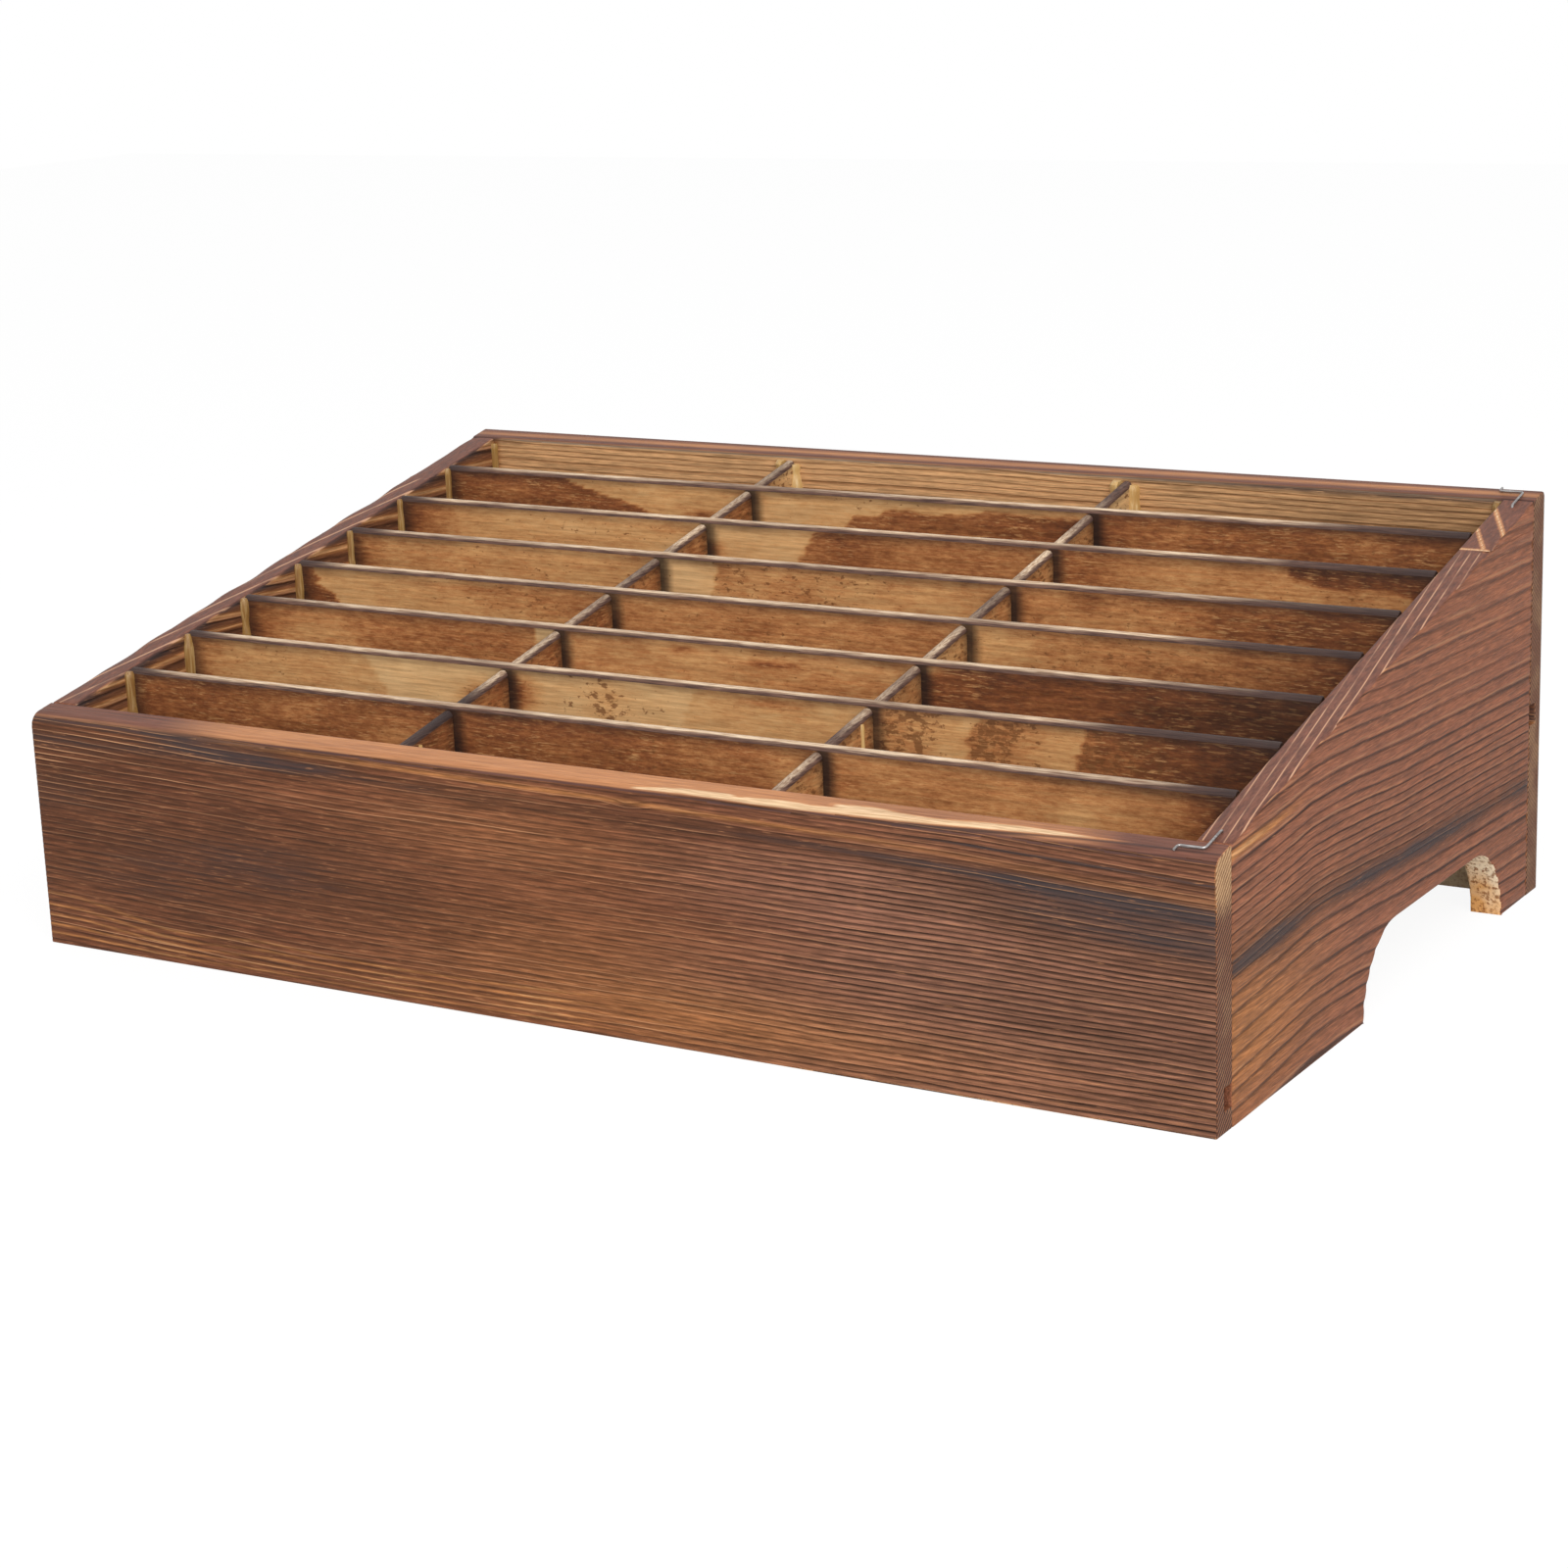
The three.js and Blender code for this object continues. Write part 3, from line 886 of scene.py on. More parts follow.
def scorched_softwood(name, along, light, warm, ribbed, dark, line_start, streaky, broken):
    material, tree, shader = new_material(name, gloss=0.06)
    fibre = grain_noise(tree, along, 60, 1500, 4, 0.6)
    hair = grain_noise(tree, along, 190, 2700, 2)
    cloud = grain_noise(tree, along, 10, 75, 3)
    patches = grain_noise(tree, along, 16, 420, 3)
    worn = mark(tree, "worn")
    ridge = mark(tree, "ridge")

    wobble = reckon(tree, "MULTIPLY_ADD", cloud, 0.26, -0.2)
    shaken = reckon(tree, "MULTIPLY_ADD", fibre, 0.07, wobble)
    rings = plus(tree, mark(tree, "rings"), shaken)
    turn = reckon(tree, "FRACT", rings)
    number = reckon(tree, "FLOOR", rings)
    dice = add_node(tree, "ShaderNodeTexWhiteNoise", {"W": number}, noise_dimensions="1D")
    chance = dice.outputs["Value"]
    strength = times(tree, ridge, scale_to(tree, chance, 0, 1, 1 - broken, 1.0),
                     scale_to(tree, patches, 0.35, 0.6, 1 - broken, 1.0))
    line = times(tree, ring_line(tree, turn, line_start), strength)
    halo = times(tree, scale_to(tree, turn, 0.3, 0.9, 0.0, 0.3), strength)

    bright = mix(tree, scale_to(tree, cloud, 0.36, 0.64), light, warm)
    bright = mix(tree, scale_to(tree, ridge, 0.5, 1.0, 0.0, 0.75), bright, ribbed)
    bright = mix(tree, scale_to(tree, worn, 0.0, 0.5), bright, bare_orange)
    bright = mix(tree, scale_to(tree, worn, 0.5, 1.0), bright, bare_cream)
    shade = mix(tree, worn, dark, bare_shade)
    colour = mix(tree, halo, bright, shade)
    colour = mix(tree, line, colour, shade)
    colour = vary(tree, colour, fibre, 1 - streaky, 1 + streaky)
    colour = vary(tree, colour, hair, 1 - 0.8 * streaky, 1 + 0.8 * streaky)
    burnt = plus(tree, mark(tree, "char"), scale_to(tree, cloud, 0.25, 0.75, -0.16, 0.16),
                 scale_to(tree, fibre, 0.25, 0.75, 0.12, -0.12))
    darkest = mix(tree, scale_to(tree, burnt, 0.6, 0.95), soot, smoke_blue)
    colour = mix(tree, scale_to(tree, burnt, 0.05, 1.0, 0.0, 0.86), colour, darkest)
    thin = times(tree, scale_to(tree, turn, 0.02, 0.08, smooth=True),
                 scale_to(tree, turn, 0.13, 0.24, 1.0, 0.0, smooth=True), mark(tree, "streak"),
                 scale_to(tree, chance, 0.25, 0.75, 1.0, 0.25), scale_to(tree, patches, 0.42, 0.56))
    colour = mix(tree, thin, colour, polished)
    sparkle = scale_to(tree, hair, 0.64, 0.74, 0.0, 0.5)
    colour = mix(tree, sparkle, colour, mix(tree, worn, rgb(0.42, 0.19, 0.085), bare_cream))

    gloss = scale_to(tree, fibre, 0.3, 0.7, 0.42, 0.62)
    height = reckon(tree, "SUBTRACT", plus(tree, fibre, times(tree, hair, 0.5)), line)
    finish_surface(tree, shader, colour, gloss, height, 0.35 * mm)
    return material


front_wood = scorched_softwood(
    "scorched_front_wood", along_x, rgb(0.15, 0.054, 0.027), rgb(0.23, 0.084, 0.040),
    rgb(0.315, 0.148, 0.094), rgb(0.024, 0.013, 0.011), front_line_start, streaky=0.28, broken=0.18)
back_wood = scorched_softwood(
    "scorched_back_wood", along_x, rgb(0.18, 0.064, 0.03), rgb(0.25, 0.09, 0.037),
    rgb(0.23, 0.085, 0.037), rgb(0.05, 0.022, 0.015), back_line_start, streaky=0.24, broken=0.3)
side_wood = scorched_softwood(
    "scorched_side_wood", along_y, rgb(0.24, 0.091, 0.052), rgb(0.285, 0.109, 0.058),
    rgb(0.264, 0.102, 0.057), rgb(0.032, 0.016, 0.013), side_line_start, streaky=0.27, broken=0.25)
print("softwood materials:", front_wood.name, back_wood.name, side_wood.name)

# %% [markdown]
# The tops of the boards look different from their faces: hands and sandpaper rubbed them smooth to a
# dusky purple-brown, which carries a painted purple-grey sheen, with tan and cream where they went
# deeper. Thin pale lines run along the tops of the side boards. They are rings cut at a low angle, so
# they cross the top at a slant, and slant and distance were measured on each side.

# %% Handled tops with a painted sheen
drift = 0.4 * mm


def pale_rim_lines(tree, slant, gap, start, half):
    """Thin pale lines on the top of a side board, gap apart, that run inwards towards the back."""
    axes = own_axes(tree)
    waver = scale_to(tree, grain_noise(tree, along_y, 12, 30, 2), 0.2, 0.8, -drift, drift)
    out = plus(tree, reckon(tree, "ABSOLUTE", axes["X"]), times(tree, axes["Y"], slant), waver)
    count = plus(tree, reckon(tree, "DIVIDE", out, gap), 0.5 - start)
    aside = reckon(tree, "ABSOLUTE", reckon(tree, "SUBTRACT", reckon(tree, "FRACT", count), 0.5))
    return scale_to(tree, aside, 0.4 * half / gap, half / gap, 1.0, 0.0)


def handled_top_with_sheen(name, along, rim_lines=None):
    material, tree, shader = new_material(name)
    fibre = grain_noise(tree, along, 30, 1100, 3)
    hair = grain_noise(tree, along, 120, 2600, 2)
    worn = mark(tree, "worn")
    fine, finest = scale_to(tree, fibre, 0.35, 0.65), scale_to(tree, hair, 0.35, 0.65)
    # Dusky purple-brown: the charred wood's colour with a painted purple-grey sheen.
    dusky_sheen = mix(tree, fine, rgb(0.124, 0.050, 0.035), rgb(0.23, 0.096, 0.065))
    tan = mix(tree, fine, rgb(0.46, 0.195, 0.085), rgb(0.60, 0.275, 0.125))
    cream = mix(tree, finest, rgb(0.68, 0.43, 0.235), rgb(0.84, 0.59, 0.36))
    colour = mix(tree, scale_to(tree, worn, 0.1, 0.45), dusky_sheen, tan)
    colour = mix(tree, scale_to(tree, worn, 0.55, 0.8), colour, cream)
    colour = vary(tree, colour, hair, 0.85, 1.15)
    burnt = scale_to(tree, mark(tree, "char"), 0.15, 0.85, 0.0, 0.85)
    colour = mix(tree, burnt, colour, rgb(0.045, 0.027, 0.026))
    if rim_lines:
        broken = scale_to(tree, grain_noise(tree, along, 25, 200, 2), 0.36, 0.5, 0.25, 0.9)
        lines = times(tree, pale_rim_lines(tree, *rim_lines), mark(tree, "streak"), broken)
        colour = mix(tree, lines, colour, rgb(0.64, 0.36, 0.22))
    gloss = scale_to(tree, fibre, 0.3, 0.7, 0.4, 0.58)
    finish_surface(tree, shader, colour, gloss, plus(tree, fibre, hair), 0.15 * mm)
    return material


end_board_top = handled_top_with_sheen("handled_sheen_end_board_top", along_x)
left_top = handled_top_with_sheen("handled_left_top", along_y, (0.27, 6.15 * mm, 0.325, 0.6 * mm))
right_top = handled_top_with_sheen("handled_right_top", along_y, (0.09, 2.5 * mm, 0.41, 0.24 * mm))
print("top materials:", end_board_top.name, left_top.name, right_top.name)

# %% [markdown]
# The boards' ends show the rings from the end: fine slanting lines, pale near the top and brown
# below. The arch and the undersides are sawn wood that no flame reached: pale, rough and crumbly.
# Both are separate materials, given to faces by the way they point.

# %% End grain and sawn wood


def end_grain(name):
    material, tree, shader = new_material(name)
    axes = own_axes(tree)
    across = reckon(tree, "SUBTRACT", axes["Z"], axes["Y"])
    pores = even_noise(tree, 1800.0, 2.0)
    cloud = even_noise(tree, 110.0, 3.0)
    rings = plus(tree, times(tree, across, 640.0), times(tree, cloud, 1.2))
    line = scale_to(tree, reckon(tree, "FRACT", rings), 0.3, 0.8, smooth=True)
    dry = plus(tree, mark(tree, "worn"), scale_to(tree, cloud, 0.35, 0.65, -0.25, 0.25))
    bright = mix(tree, scale_to(tree, dry, 0.1, 0.95), rgb(0.25, 0.112, 0.062), rgb(0.55, 0.34, 0.18))
    shade = mix(tree, scale_to(tree, dry, 0.3, 1.0), rgb(0.045, 0.024, 0.02), rgb(0.27, 0.14, 0.065))
    colour = mix(tree, line, bright, shade)
    colour = mix(tree, scale_to(tree, pores, 0.4, 0.75, 0.0, 0.35), colour, rgb(0.07, 0.04, 0.03))
    gloss = scale_to(tree, pores, 0.3, 0.7, 0.55, 0.8)
    finish_surface(tree, shader, colour, gloss, reckon(tree, "SUBTRACT", pores, line), 0.2 * mm)
    return material


def sawn_wood(name, pale, low_darkening, crumbly):
    """Bare wood, browner towards the table by a given amount; crumbly is how rough it was sawn."""
    material, tree, shader = new_material(name)
    crumbs = grain_noise(tree, along_y, 900, 900, 4, 0.65)
    cloud = grain_noise(tree, along_y, 110, 110, 3)
    darkening = plus(tree, scale_to(tree, own_axes(tree)["Z"], 0.0, 19 * mm, low_darkening, 0.0),
                   scale_to(tree, cloud, 0.3, 0.7, -0.35, 0.35))
    colour = mix(tree, scale_to(tree, darkening, 0.1, 0.95), pale, rgb(0.72, 0.37, 0.13))
    colour = mix(tree, scale_to(tree, crumbs, 0.51, 0.6, 0.0, crumbly), colour, bare_shade)
    gloss = scale_to(tree, crumbs, 0.3, 0.7, 0.7, 0.9)
    finish_surface(tree, shader, colour, gloss, crumbs, 0.5 * mm)
    return material


end_wood = end_grain("brown_end_grain")
bare_wood = sawn_wood("bare_sawn_wood", rgb(0.95, 0.78, 0.56), low_darkening=1.0, crumbly=0.9)
# The unscorched inner wood is made very pale so that it also paints the glow of light under the panel.
inner_wood_with_painted_glow = sawn_wood("clean_inner_wood", rgb(0.90, 0.76, 0.56), low_darkening=0.0, crumbly=0.3)
print("bare materials:", end_wood.name, bare_wood.name, inner_wood_with_painted_glow.name)

# %% [markdown]
# Each board now gets its woods. The scorched wood covers it first, and the others are then given to
# the faces that a test picks by their place and by the way they point. Where two tests pick the same
# face, the later one holds, so the arch comes last.

# %% Wood on the boards


def give_wood(piece, main, other_faces):
    """Gives the main wood to a piece, and other woods to the faces that their tests pick."""
    piece.data.materials.append(main)
    for number, (material, test) in enumerate(other_faces, start=1):
        piece.data.materials.append(material)
        for face in piece.data.polygons:
            if test(face):
                face.material_index = number


def is_end(face):
    return abs(face.normal.x) > 0.8


def is_underside(face):
    return face.normal.z < -0.6


def is_top(face):
    return face.normal.z > 0.62


def in_arch(face):
    inside = arch_front - mm < face.center.y < arch_back + mm and face.center.z < arch_height + mm
    return is_underside(face) or (inside and abs(face.normal.x) < 0.5)


def is_board_top(face):
    return is_top(face) and face.center.z > rim_height(front_low.y) - 2 * mm


def panel_underside(y):
    """Height of the bottom panel's lower face."""
    front, back = (heights_at("bottom_panel", end.y)[0] for end in (panel_low, panel_high))
    return front + (back - front) * (y - panel_low.y) / (panel_high.y - panel_low.y)


def under_panel(face):
    """Inner faces below the panel, which no flame reached; their pale wood carries a painted glow."""
    middle, level_axes = face.center, (along_x, along_y)
    inward = any(-face.normal[axis] * middle[axis] > 0.6 * abs(middle[axis]) for axis in level_axes)
    inside = all(abs(middle[axis]) < cad_high[axis] - board / 2 for axis in level_axes)
    return inward and inside and middle.z < panel_underside(middle.y)


end_board_faces = [(end_wood, is_end), (bare_wood, is_underside), (end_board_top, is_board_top),
                   (inner_wood_with_painted_glow, under_panel)]
give_wood(front_board, front_wood, end_board_faces)
give_wood(back_board, back_wood, end_board_faces)
for piece, top in ((left_board, left_top), (right_board, right_top)):
    give_wood(piece, side_wood, [(top, is_board_top), (inner_wood_with_painted_glow, under_panel), (bare_wood, in_arch)])
for piece, top in ((left_strip, left_top), (right_strip, right_top)):
    give_wood(piece, side_wood, [(bare_wood, is_underside), (top, is_board_top)])

for piece in (front_board, back_board, left_board, right_board, left_strip, right_strip):
    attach(piece, "root")
    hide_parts(piece.name.removesuffix("_wood"))
print("boards dressed")

# %% [markdown]
# The dividers are thin plywood. Rows and columns cross in half-lap slots: a row is slotted from
# below and a column from above, and they slide into each other. Each is a block with its slots
# taken out by a tool block and its top rounded to almost a half circle, as sandpaper leaves it.
# Then it is sliced, finely near the top, so that it can carry scorch marks.

# %% Row and column dividers
row_names = [f"row_divider_{number}" for number in range(1, 8)]
column_names = [f"column_divider_{number}" for number in range(1, 3)]
lap_side_gap = 0.15 * mm
lap_height_gap = 0.3 * mm
ply_edge = 0.25 * mm
ply_round = 1.45 * mm
shown_depth = 16 * mm
row_slices = {along_z: 4 * mm, along_x: 1.3 * mm}
row_fine_slice = 0.8 * mm
column_slices = {along_z: 2 * mm, along_y: 2 * mm}


def lap_top(row):
    """Height of the top of a row's slots, the middle one of its three heights."""
    heights = sorted({round(corner.co.z, 5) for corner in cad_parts[row].data.vertices})
    return heights[1]


def make_row(node):
    low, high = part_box(node)
    piece = add_block(node + "_ply", low, high)
    for column in column_names:
        left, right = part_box(column)[0].x - lap_side_gap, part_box(column)[1].x + lap_side_gap
        tool_low = (left, low.y - mm, low.z - mm)
        take_out(piece, add_block("slot_tool", tool_low, (right, high.y + mm, lap_top(node))))
    ease_edges(piece, ply_round, round_steps, lambda edge: is_long(edge, along_x) and all(
        corner.co.z > high.z - on_edge for corner in edge.verts))
    ease_edges(piece, ply_edge, 1, is_sharp)
    slice_evenly(piece, along_z, row_slices[along_z])
    slice_evenly(piece, along_z, row_fine_slice, high.z - shown_depth)
    slice_evenly(piece, along_x, row_slices[along_x])
    return piece


def make_column(node):
    low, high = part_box(node)
    piece = add_block(node + "_ply", low, high)
    saw_off(piece, Vector((0, high.y, high.z)), rim_normal)
    foot_front, foot_back = (heights_at(node, end.y)[0] for end in (low, high))
    foot_slope = (foot_back - foot_front) / (high.y - low.y)
    saw_off(piece, Vector((0, low.y, foot_front)), Vector((0, foot_slope, -1)).normalized())
    for row in row_names:
        front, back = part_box(row)[0].y - lap_side_gap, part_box(row)[1].y + lap_side_gap
        tool_low = (low.x - mm, front, lap_top(row) - lap_height_gap)
        take_out(piece, add_block("slot_tool", tool_low, (high.x + mm, back, high.z + mm)))
    top_at_middle = high.z - rim_slope * high.y
    ease_edges(piece, ply_round, round_steps, lambda edge: is_long(edge, along_y) and all(
        abs(corner.co.z - top_at_middle - rim_slope * corner.co.y) < on_edge for corner in edge.verts))
    ease_edges(piece, ply_edge, 1, is_sharp)
    slice_all_ways(piece, column_slices)
    return piece


rows = [make_row(node) for node in row_names]
columns = [make_column(node) for node in column_names]
print("dividers:", len(rows), "rows and", len(columns), "columns,",
      sum(len(piece.data.polygons) for piece in rows + columns), "faces")

# %% [markdown]
# The flame treated the plywood unevenly: each cell shows its own brown clouds with crisp borders,
# pale patches that it missed and speckles between. These marks are placed cell by cell,
# with four tools: a soft spot, a border with a change to the right of it, the same with a change
# that thins out, and a border with a change below it. Places along a cell run from 0 at its left to
# 1 at its right, depths are millimetres below the top, and the amount says how much darker or paler
# the wood gets.

# %% Scorch tools
cell_mm = 112


def spot(along, deep, reach, reach_mm, amount):
    return lambda a, d: amount * patch(a, d, (along, deep), (reach, reach_mm))


def right_of(border, amount):
    """A change to the right of a border, given as depths and places along the cell."""
    def change(a, d):
        ragged = 1.5 * wander(a * cell_mm, 2 * d, 5, 71)
        ragged += 1.1 * wander(a * cell_mm, 2 * d, 2.4, 72)
        return amount * rise((a - between(d, border)) * cell_mm + ragged, -0.7, 0.7)

    return change


def thinning(border, amount, length):
    """A change that starts at a border and thins out to the right over a share of the cell."""
    sharp = right_of(border, amount)
    return lambda a, d: sharp(a, d) * (1 - rise(a - between(d, border), 0.25 * length, length))


def below(border, amount):
    """A change below a border, given as places along the cell and depths."""
    def change(a, d):
        ragged = 0.6 * wander(a * cell_mm, 2 * d, 4, 73)
        return amount * rise(d - between(a, border) + ragged, -0.6, 0.6)

    return change


print("cells are", cell_mm, "mm wide")

# %% [markdown]
# Now the marks themselves. The front faces of the seven rows are seen over each other, so each has
# three cells: left, middle and right. The first number of a cell is how far its wood was toasted as
# a whole, and its list holds the changes to that. A second table holds the speckles. Towards the
# right-hand wall the rows get darker, and so do their tops for some way.

# %% Scorch marks, cell by cell
scorch_marks = {
    (1, "left"): (0.68, [
        spot(0.55, 6, 0.12, 4, -0.2), spot(0.85, 10, 0.1, 4, -0.25)]),
    (1, "middle"): (0.72, [
        spot(0.3, 10, 0.2, 3, -0.1), spot(0.72, 8, 0.12, 7, -0.22), spot(0.95, 8, 0.08, 9, -0.4)]),
    (1, "right"): (0.40, [
        spot(1.0, 8, 0.10, 20, 0.6), spot(0.62, 11, 0.07, 4, -0.2)]),
    (2, "left"): (0.22, [
        spot(0.0, 6, 0.1, 20, 0.3), right_of([(0, 0.57), (6, 0.61), (11, 0.65)], -0.18),
        spot(0.94, 10, 0.06, 4, 0.4)]),
    (2, "middle"): (0.07, [
        spot(0.0, 8, 0.065, 5, 0.75), spot(0.28, 8, 0.05, 7, 0.12),
        right_of([(0, 0.55), (12, 0.5)], 0.14), spot(0.75, 3.5, 0.09, 1.5, 0.3)]),
    (2, "right"): (0.19, [
        thinning([(0, -0.1), (12, -0.1)], 0.2, 0.36),
        thinning([(0, 0.28), (6, 0.255), (12, 0.24)], 0.24, 0.28),
        right_of([(0, 0.55), (6, 0.53), (12, 0.51)], 0.36), spot(0.95, 6, 0.3, 20, 0.4)]),
    (3, "left"): (0.44, [
        right_of([(0, 0.955), (12, 0.94)], -0.5), spot(0.7, 7, 0.25, 8, 0.1),
        spot(0.25, 8, 0.15, 5, -0.15), spot(0.0, 6, 0.08, 20, 0.3)]),
    (3, "middle"): (0.28, [
        spot(0.63, 5.5, 0.08, 0.9, 0.45), spot(0.36, 3.5, 0.04, 0.9, 0.35),
        spot(0.72, 11, 0.15, 3, 0.12), spot(0.1, 10, 0.1, 5, 0.06)]),
    (3, "right"): (0.85, [
        spot(0.02, 2.5, 0.05, 1.6, -0.65), spot(0.3, 8, 0.2, 5, -0.1)]),
    (4, "left"): (0.80, [
        right_of([(0, 0.045), (3, 0.055), (5, 0.08), (6.5, 0.07), (8.6, 0.095), (11, 0.135)], -0.6),
        spot(0.85, 5, 0.35, 5, 0.24), spot(0.55, 4, 0.1, 1, 0.2), spot(0.98, 8, 0.1, 6, 0.12)]),
    (4, "middle"): (0.40, [
        spot(0.4, 8, 0.12, 4, 0.1), spot(0.2, 5, 0.12, 4, -0.06), spot(0.9, 8, 0.15, 5, 0.08)]),
    (4, "right"): (0.4, [
        spot(1.0, 6, 0.2, 20, 0.4), spot(0.65, 9, 0.3, 5, 0.1), spot(0.06, 6, 0.1, 9, -0.2)]),
    (5, "left"): (0.27, [
        spot(0.0, 6, 0.1, 20, 0.35), spot(0.35, 8, 0.2, 3, 0.08)]),
    (5, "middle"): (0.06, [
        right_of([(0, 0.17), (12, 0.165)], 0.29), spot(0.75, 7, 0.2, 8, -0.1)]),
    (5, "right"): (0.46, [
        spot(0.25, 9, 0.2, 5, -0.1), spot(0.9, 6, 0.35, 20, 0.3), spot(0.21, 4, 0.04, 3, 0.2)]),
    (6, "left"): (0.19, [
        spot(0.0, 6, 0.18, 20, 0.5), spot(0.6, 10, 0.2, 2, 0.12), spot(0.9, 4, 0.12, 2, 0.16)]),
    (6, "middle"): (0.12, [
        right_of([(0, 0.335), (3, 0.333), (5, 0.318), (7, 0.30), (9, 0.288), (13, 0.28)], 0.37),
        spot(0.42, 6, 0.08, 9, 0.16), spot(0.02, 9, 0.03, 2, 0.3)]),
    (6, "right"): (0.86, [
        below([(0.0, 0), (0.62, 0), (0.64, 4.5), (0.70, 6.3), (0.75, 7), (0.84, 6.2), (0.91, 6.4),
               (0.95, 8), (1.0, 11)], -0.5),
        spot(0.05, 6, 0.16, 20, 0.26)]),
    (7, "left"): (0.74, [
        right_of([(0, 0.40), (3, 0.44), (5, 0.50), (7, 0.58), (9, 0.66), (12, 0.71)], -0.54),
        spot(0.22, 7, 0.1, 2.5, -0.16), spot(0.87, 10, 0.05, 1.2, 0.4)]),
    (7, "middle"): (0.18, [
        below([(0.27, 30), (0.28, 13), (0.30, 9.5), (0.32, 7.3), (0.39, 6.8), (0.41, 4.8),
               (0.445, 4.1), (0.49, 4.2), (0.52, 5), (0.57, 5.4), (0.60, 4.8), (0.675, 4.4),
               (0.715, 3.4), (0.78, 3.2), (0.88, 3.3), (0.96, 3.6)], 0.5),
        spot(0.95, 6, 0.06, 6, 0.22)]),
    (7, "right"): (0.70, [
        spot(0.24, 6, 0.07, 4, -0.22), spot(0.74, 6, 0.08, 4, -0.2)]),
}
speck_marks = {
    (1, "left"): [spot(0.6, 7, 0.4, 9, 0.4)],
    (1, "middle"): [spot(0.62, 8, 0.22, 9, 0.5)],
    (2, "left"): [spot(0.3, 7, 0.25, 8, 0.25), spot(0.95, 9, 0.06, 5, 0.6)],
    (2, "middle"): [spot(0.29, 8, 0.05, 9, 0.75), spot(0.18, 6, 0.12, 8, 0.35),
                    spot(0.42, 10, 0.1, 5, 0.3)],
    (2, "right"): [thinning([(0, 0.02), (12, 0.02)], 0.95, 0.26),
                   thinning([(0, 0.28), (6, 0.255), (12, 0.24)], 0.95, 0.26),
                   thinning([(0, 0.55), (6, 0.53), (12, 0.51)], 0.8, 0.4)],
    (3, "left"): [spot(0.75, 9, 0.3, 6, 0.45)],
    (3, "middle"): [spot(0.6, 8, 0.35, 8, 0.25)],
    (3, "right"): [spot(0.5, 8, 0.5, 9, 0.3)],
    (4, "left"): [spot(0.75, 7, 0.3, 7, 0.45)],
    (4, "middle"): [spot(0.4, 8, 0.4, 8, 0.4)],
    (4, "right"): [spot(0.45, 8, 0.4, 9, 0.5)],
    (5, "left"): [spot(0.6, 6, 0.4, 6, 0.35)],
    (5, "middle"): [thinning([(0, 0.17), (12, 0.165)], 0.5, 0.8)],
    (5, "right"): [spot(0.5, 7, 0.5, 8, 0.35)],
    (6, "left"): [spot(0.7, 6, 0.4, 6, 0.4)],
    (6, "right"): [spot(0.75, 9, 0.25, 5, 0.45)],
    (7, "middle"): [spot(0.4, 4, 0.3, 4, 0.3)],
    (7, "right"): [spot(0.5, 6, 0.5, 7, 0.45)],
}
darker_to_right = (0.25, 0.48, 0.76, 0.4, 0.4, 0.25, 0.3)
dark_top_mm = (18, 52, 30, 42, 40, 34, 34)
print("scorch marks in", len(scorch_marks), "cells, speckles in", len(speck_marks))

# %% [markdown]
# The marks are then written to the dividers, point by point. The soot mark is mostly painted shade:
# it darkens the corners of the cells, a band under the rounded tops and the wood deep down, and it
# also darkens faces and tops towards the walls. A fourth number says where a point lies on the
# rounded top, so that its crown can carry a painted highlight.

# %% Marks on the dividers
ply_marks = ("scorch", "specks", "soot", "round")
column_specks = 0.6
top_tilt = 0.15
cell_sides = ("left", "middle", "right")
cell_edges = [(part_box("left_side_board")[1].x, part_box(column_names[0])[0].x),
              (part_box(column_names[0])[1].x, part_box(column_names[1])[0].x),
              (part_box(column_names[1])[1].x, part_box("right_side_board")[0].x)]


def cell_at(x):
    """Number of the cell column at x, and how far along it x lies."""
    number = 0 if x < cell_edges[0][1] + mm else 1 if x < cell_edges[1][1] + mm else 2
    left, right = cell_edges[number]
    return number, min(max((x - left) / (right - left), 0), 1)


def rounding(outward, upward):
    """Place on a rounded top: 1 on the side that faces outward, 0 on top, -1 on the other side."""
    return math.atan2(outward, max(upward, 0.0001)) / (math.pi / 2)


def row_look(row):
    """The marks of one row divider."""
    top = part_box(row_names[row - 1])[1].z
    wall_mm = cell_edges[2][1] / mm

    def look(corner):
        x = corner.co.x / mm
        number, along = cell_at(corner.co.x)
        at_wall = number == 2
        deep = (top - corner.co.z) / mm
        if corner.normal.y > 0.3:
            along = 1 - along
        cell = row, cell_sides[number]
        base, changes = scorch_marks[cell]
        scorch = base + sum(change(along, deep) for change in changes)
        specks = sum(change(along, deep) for change in speck_marks.get(cell, []))
        # Painted shade: darker in the corners at both ends of a cell, in a band under the rounded top
        # whose strength smoky sets, and deep down in the cell.
        shade_at_left = (0.92 if number else 0.8) * (1 - rise(along * cell_mm, 1.0, 5.5 if number else 9))
        shade_at_right = (0.85 if at_wall else 0.4) * stripe((1 - along) * cell_mm, 5.0)
        smoky = 0.6 + 0.35 * wander(x, row, 25, 41) + (0.5 * rise(along, 0.35, 0.9) if at_wall else 0)
        shade_band_mm = 1.7 + (1.4 * rise(along, 0.4, 1.0) if at_wall else 0)
        shade_under_top = smoky * stripe(deep - 1.4, shade_band_mm) + 0.27 * stripe(deep, 5)
        darker_to_wall = darker_to_right[row - 1] * rise(along, 0.25, 1.0) if at_wall else 0
        soot = max(shade_at_left, shade_at_right, 0.72 * shade_under_top, darker_to_wall) + 0.25 * rise(deep, 12, 30)
        if corner.normal.z > top_tilt:
            soot = stripe(wall_mm - x, dark_top_mm[row - 1]) + 0.9 * stripe(wall_mm + x, 14)
            soot += 0.3 * wander(x, row, 30, 42)
        return scorch, specks, soot, rounding(-corner.normal.y, corner.normal.z)

    return look


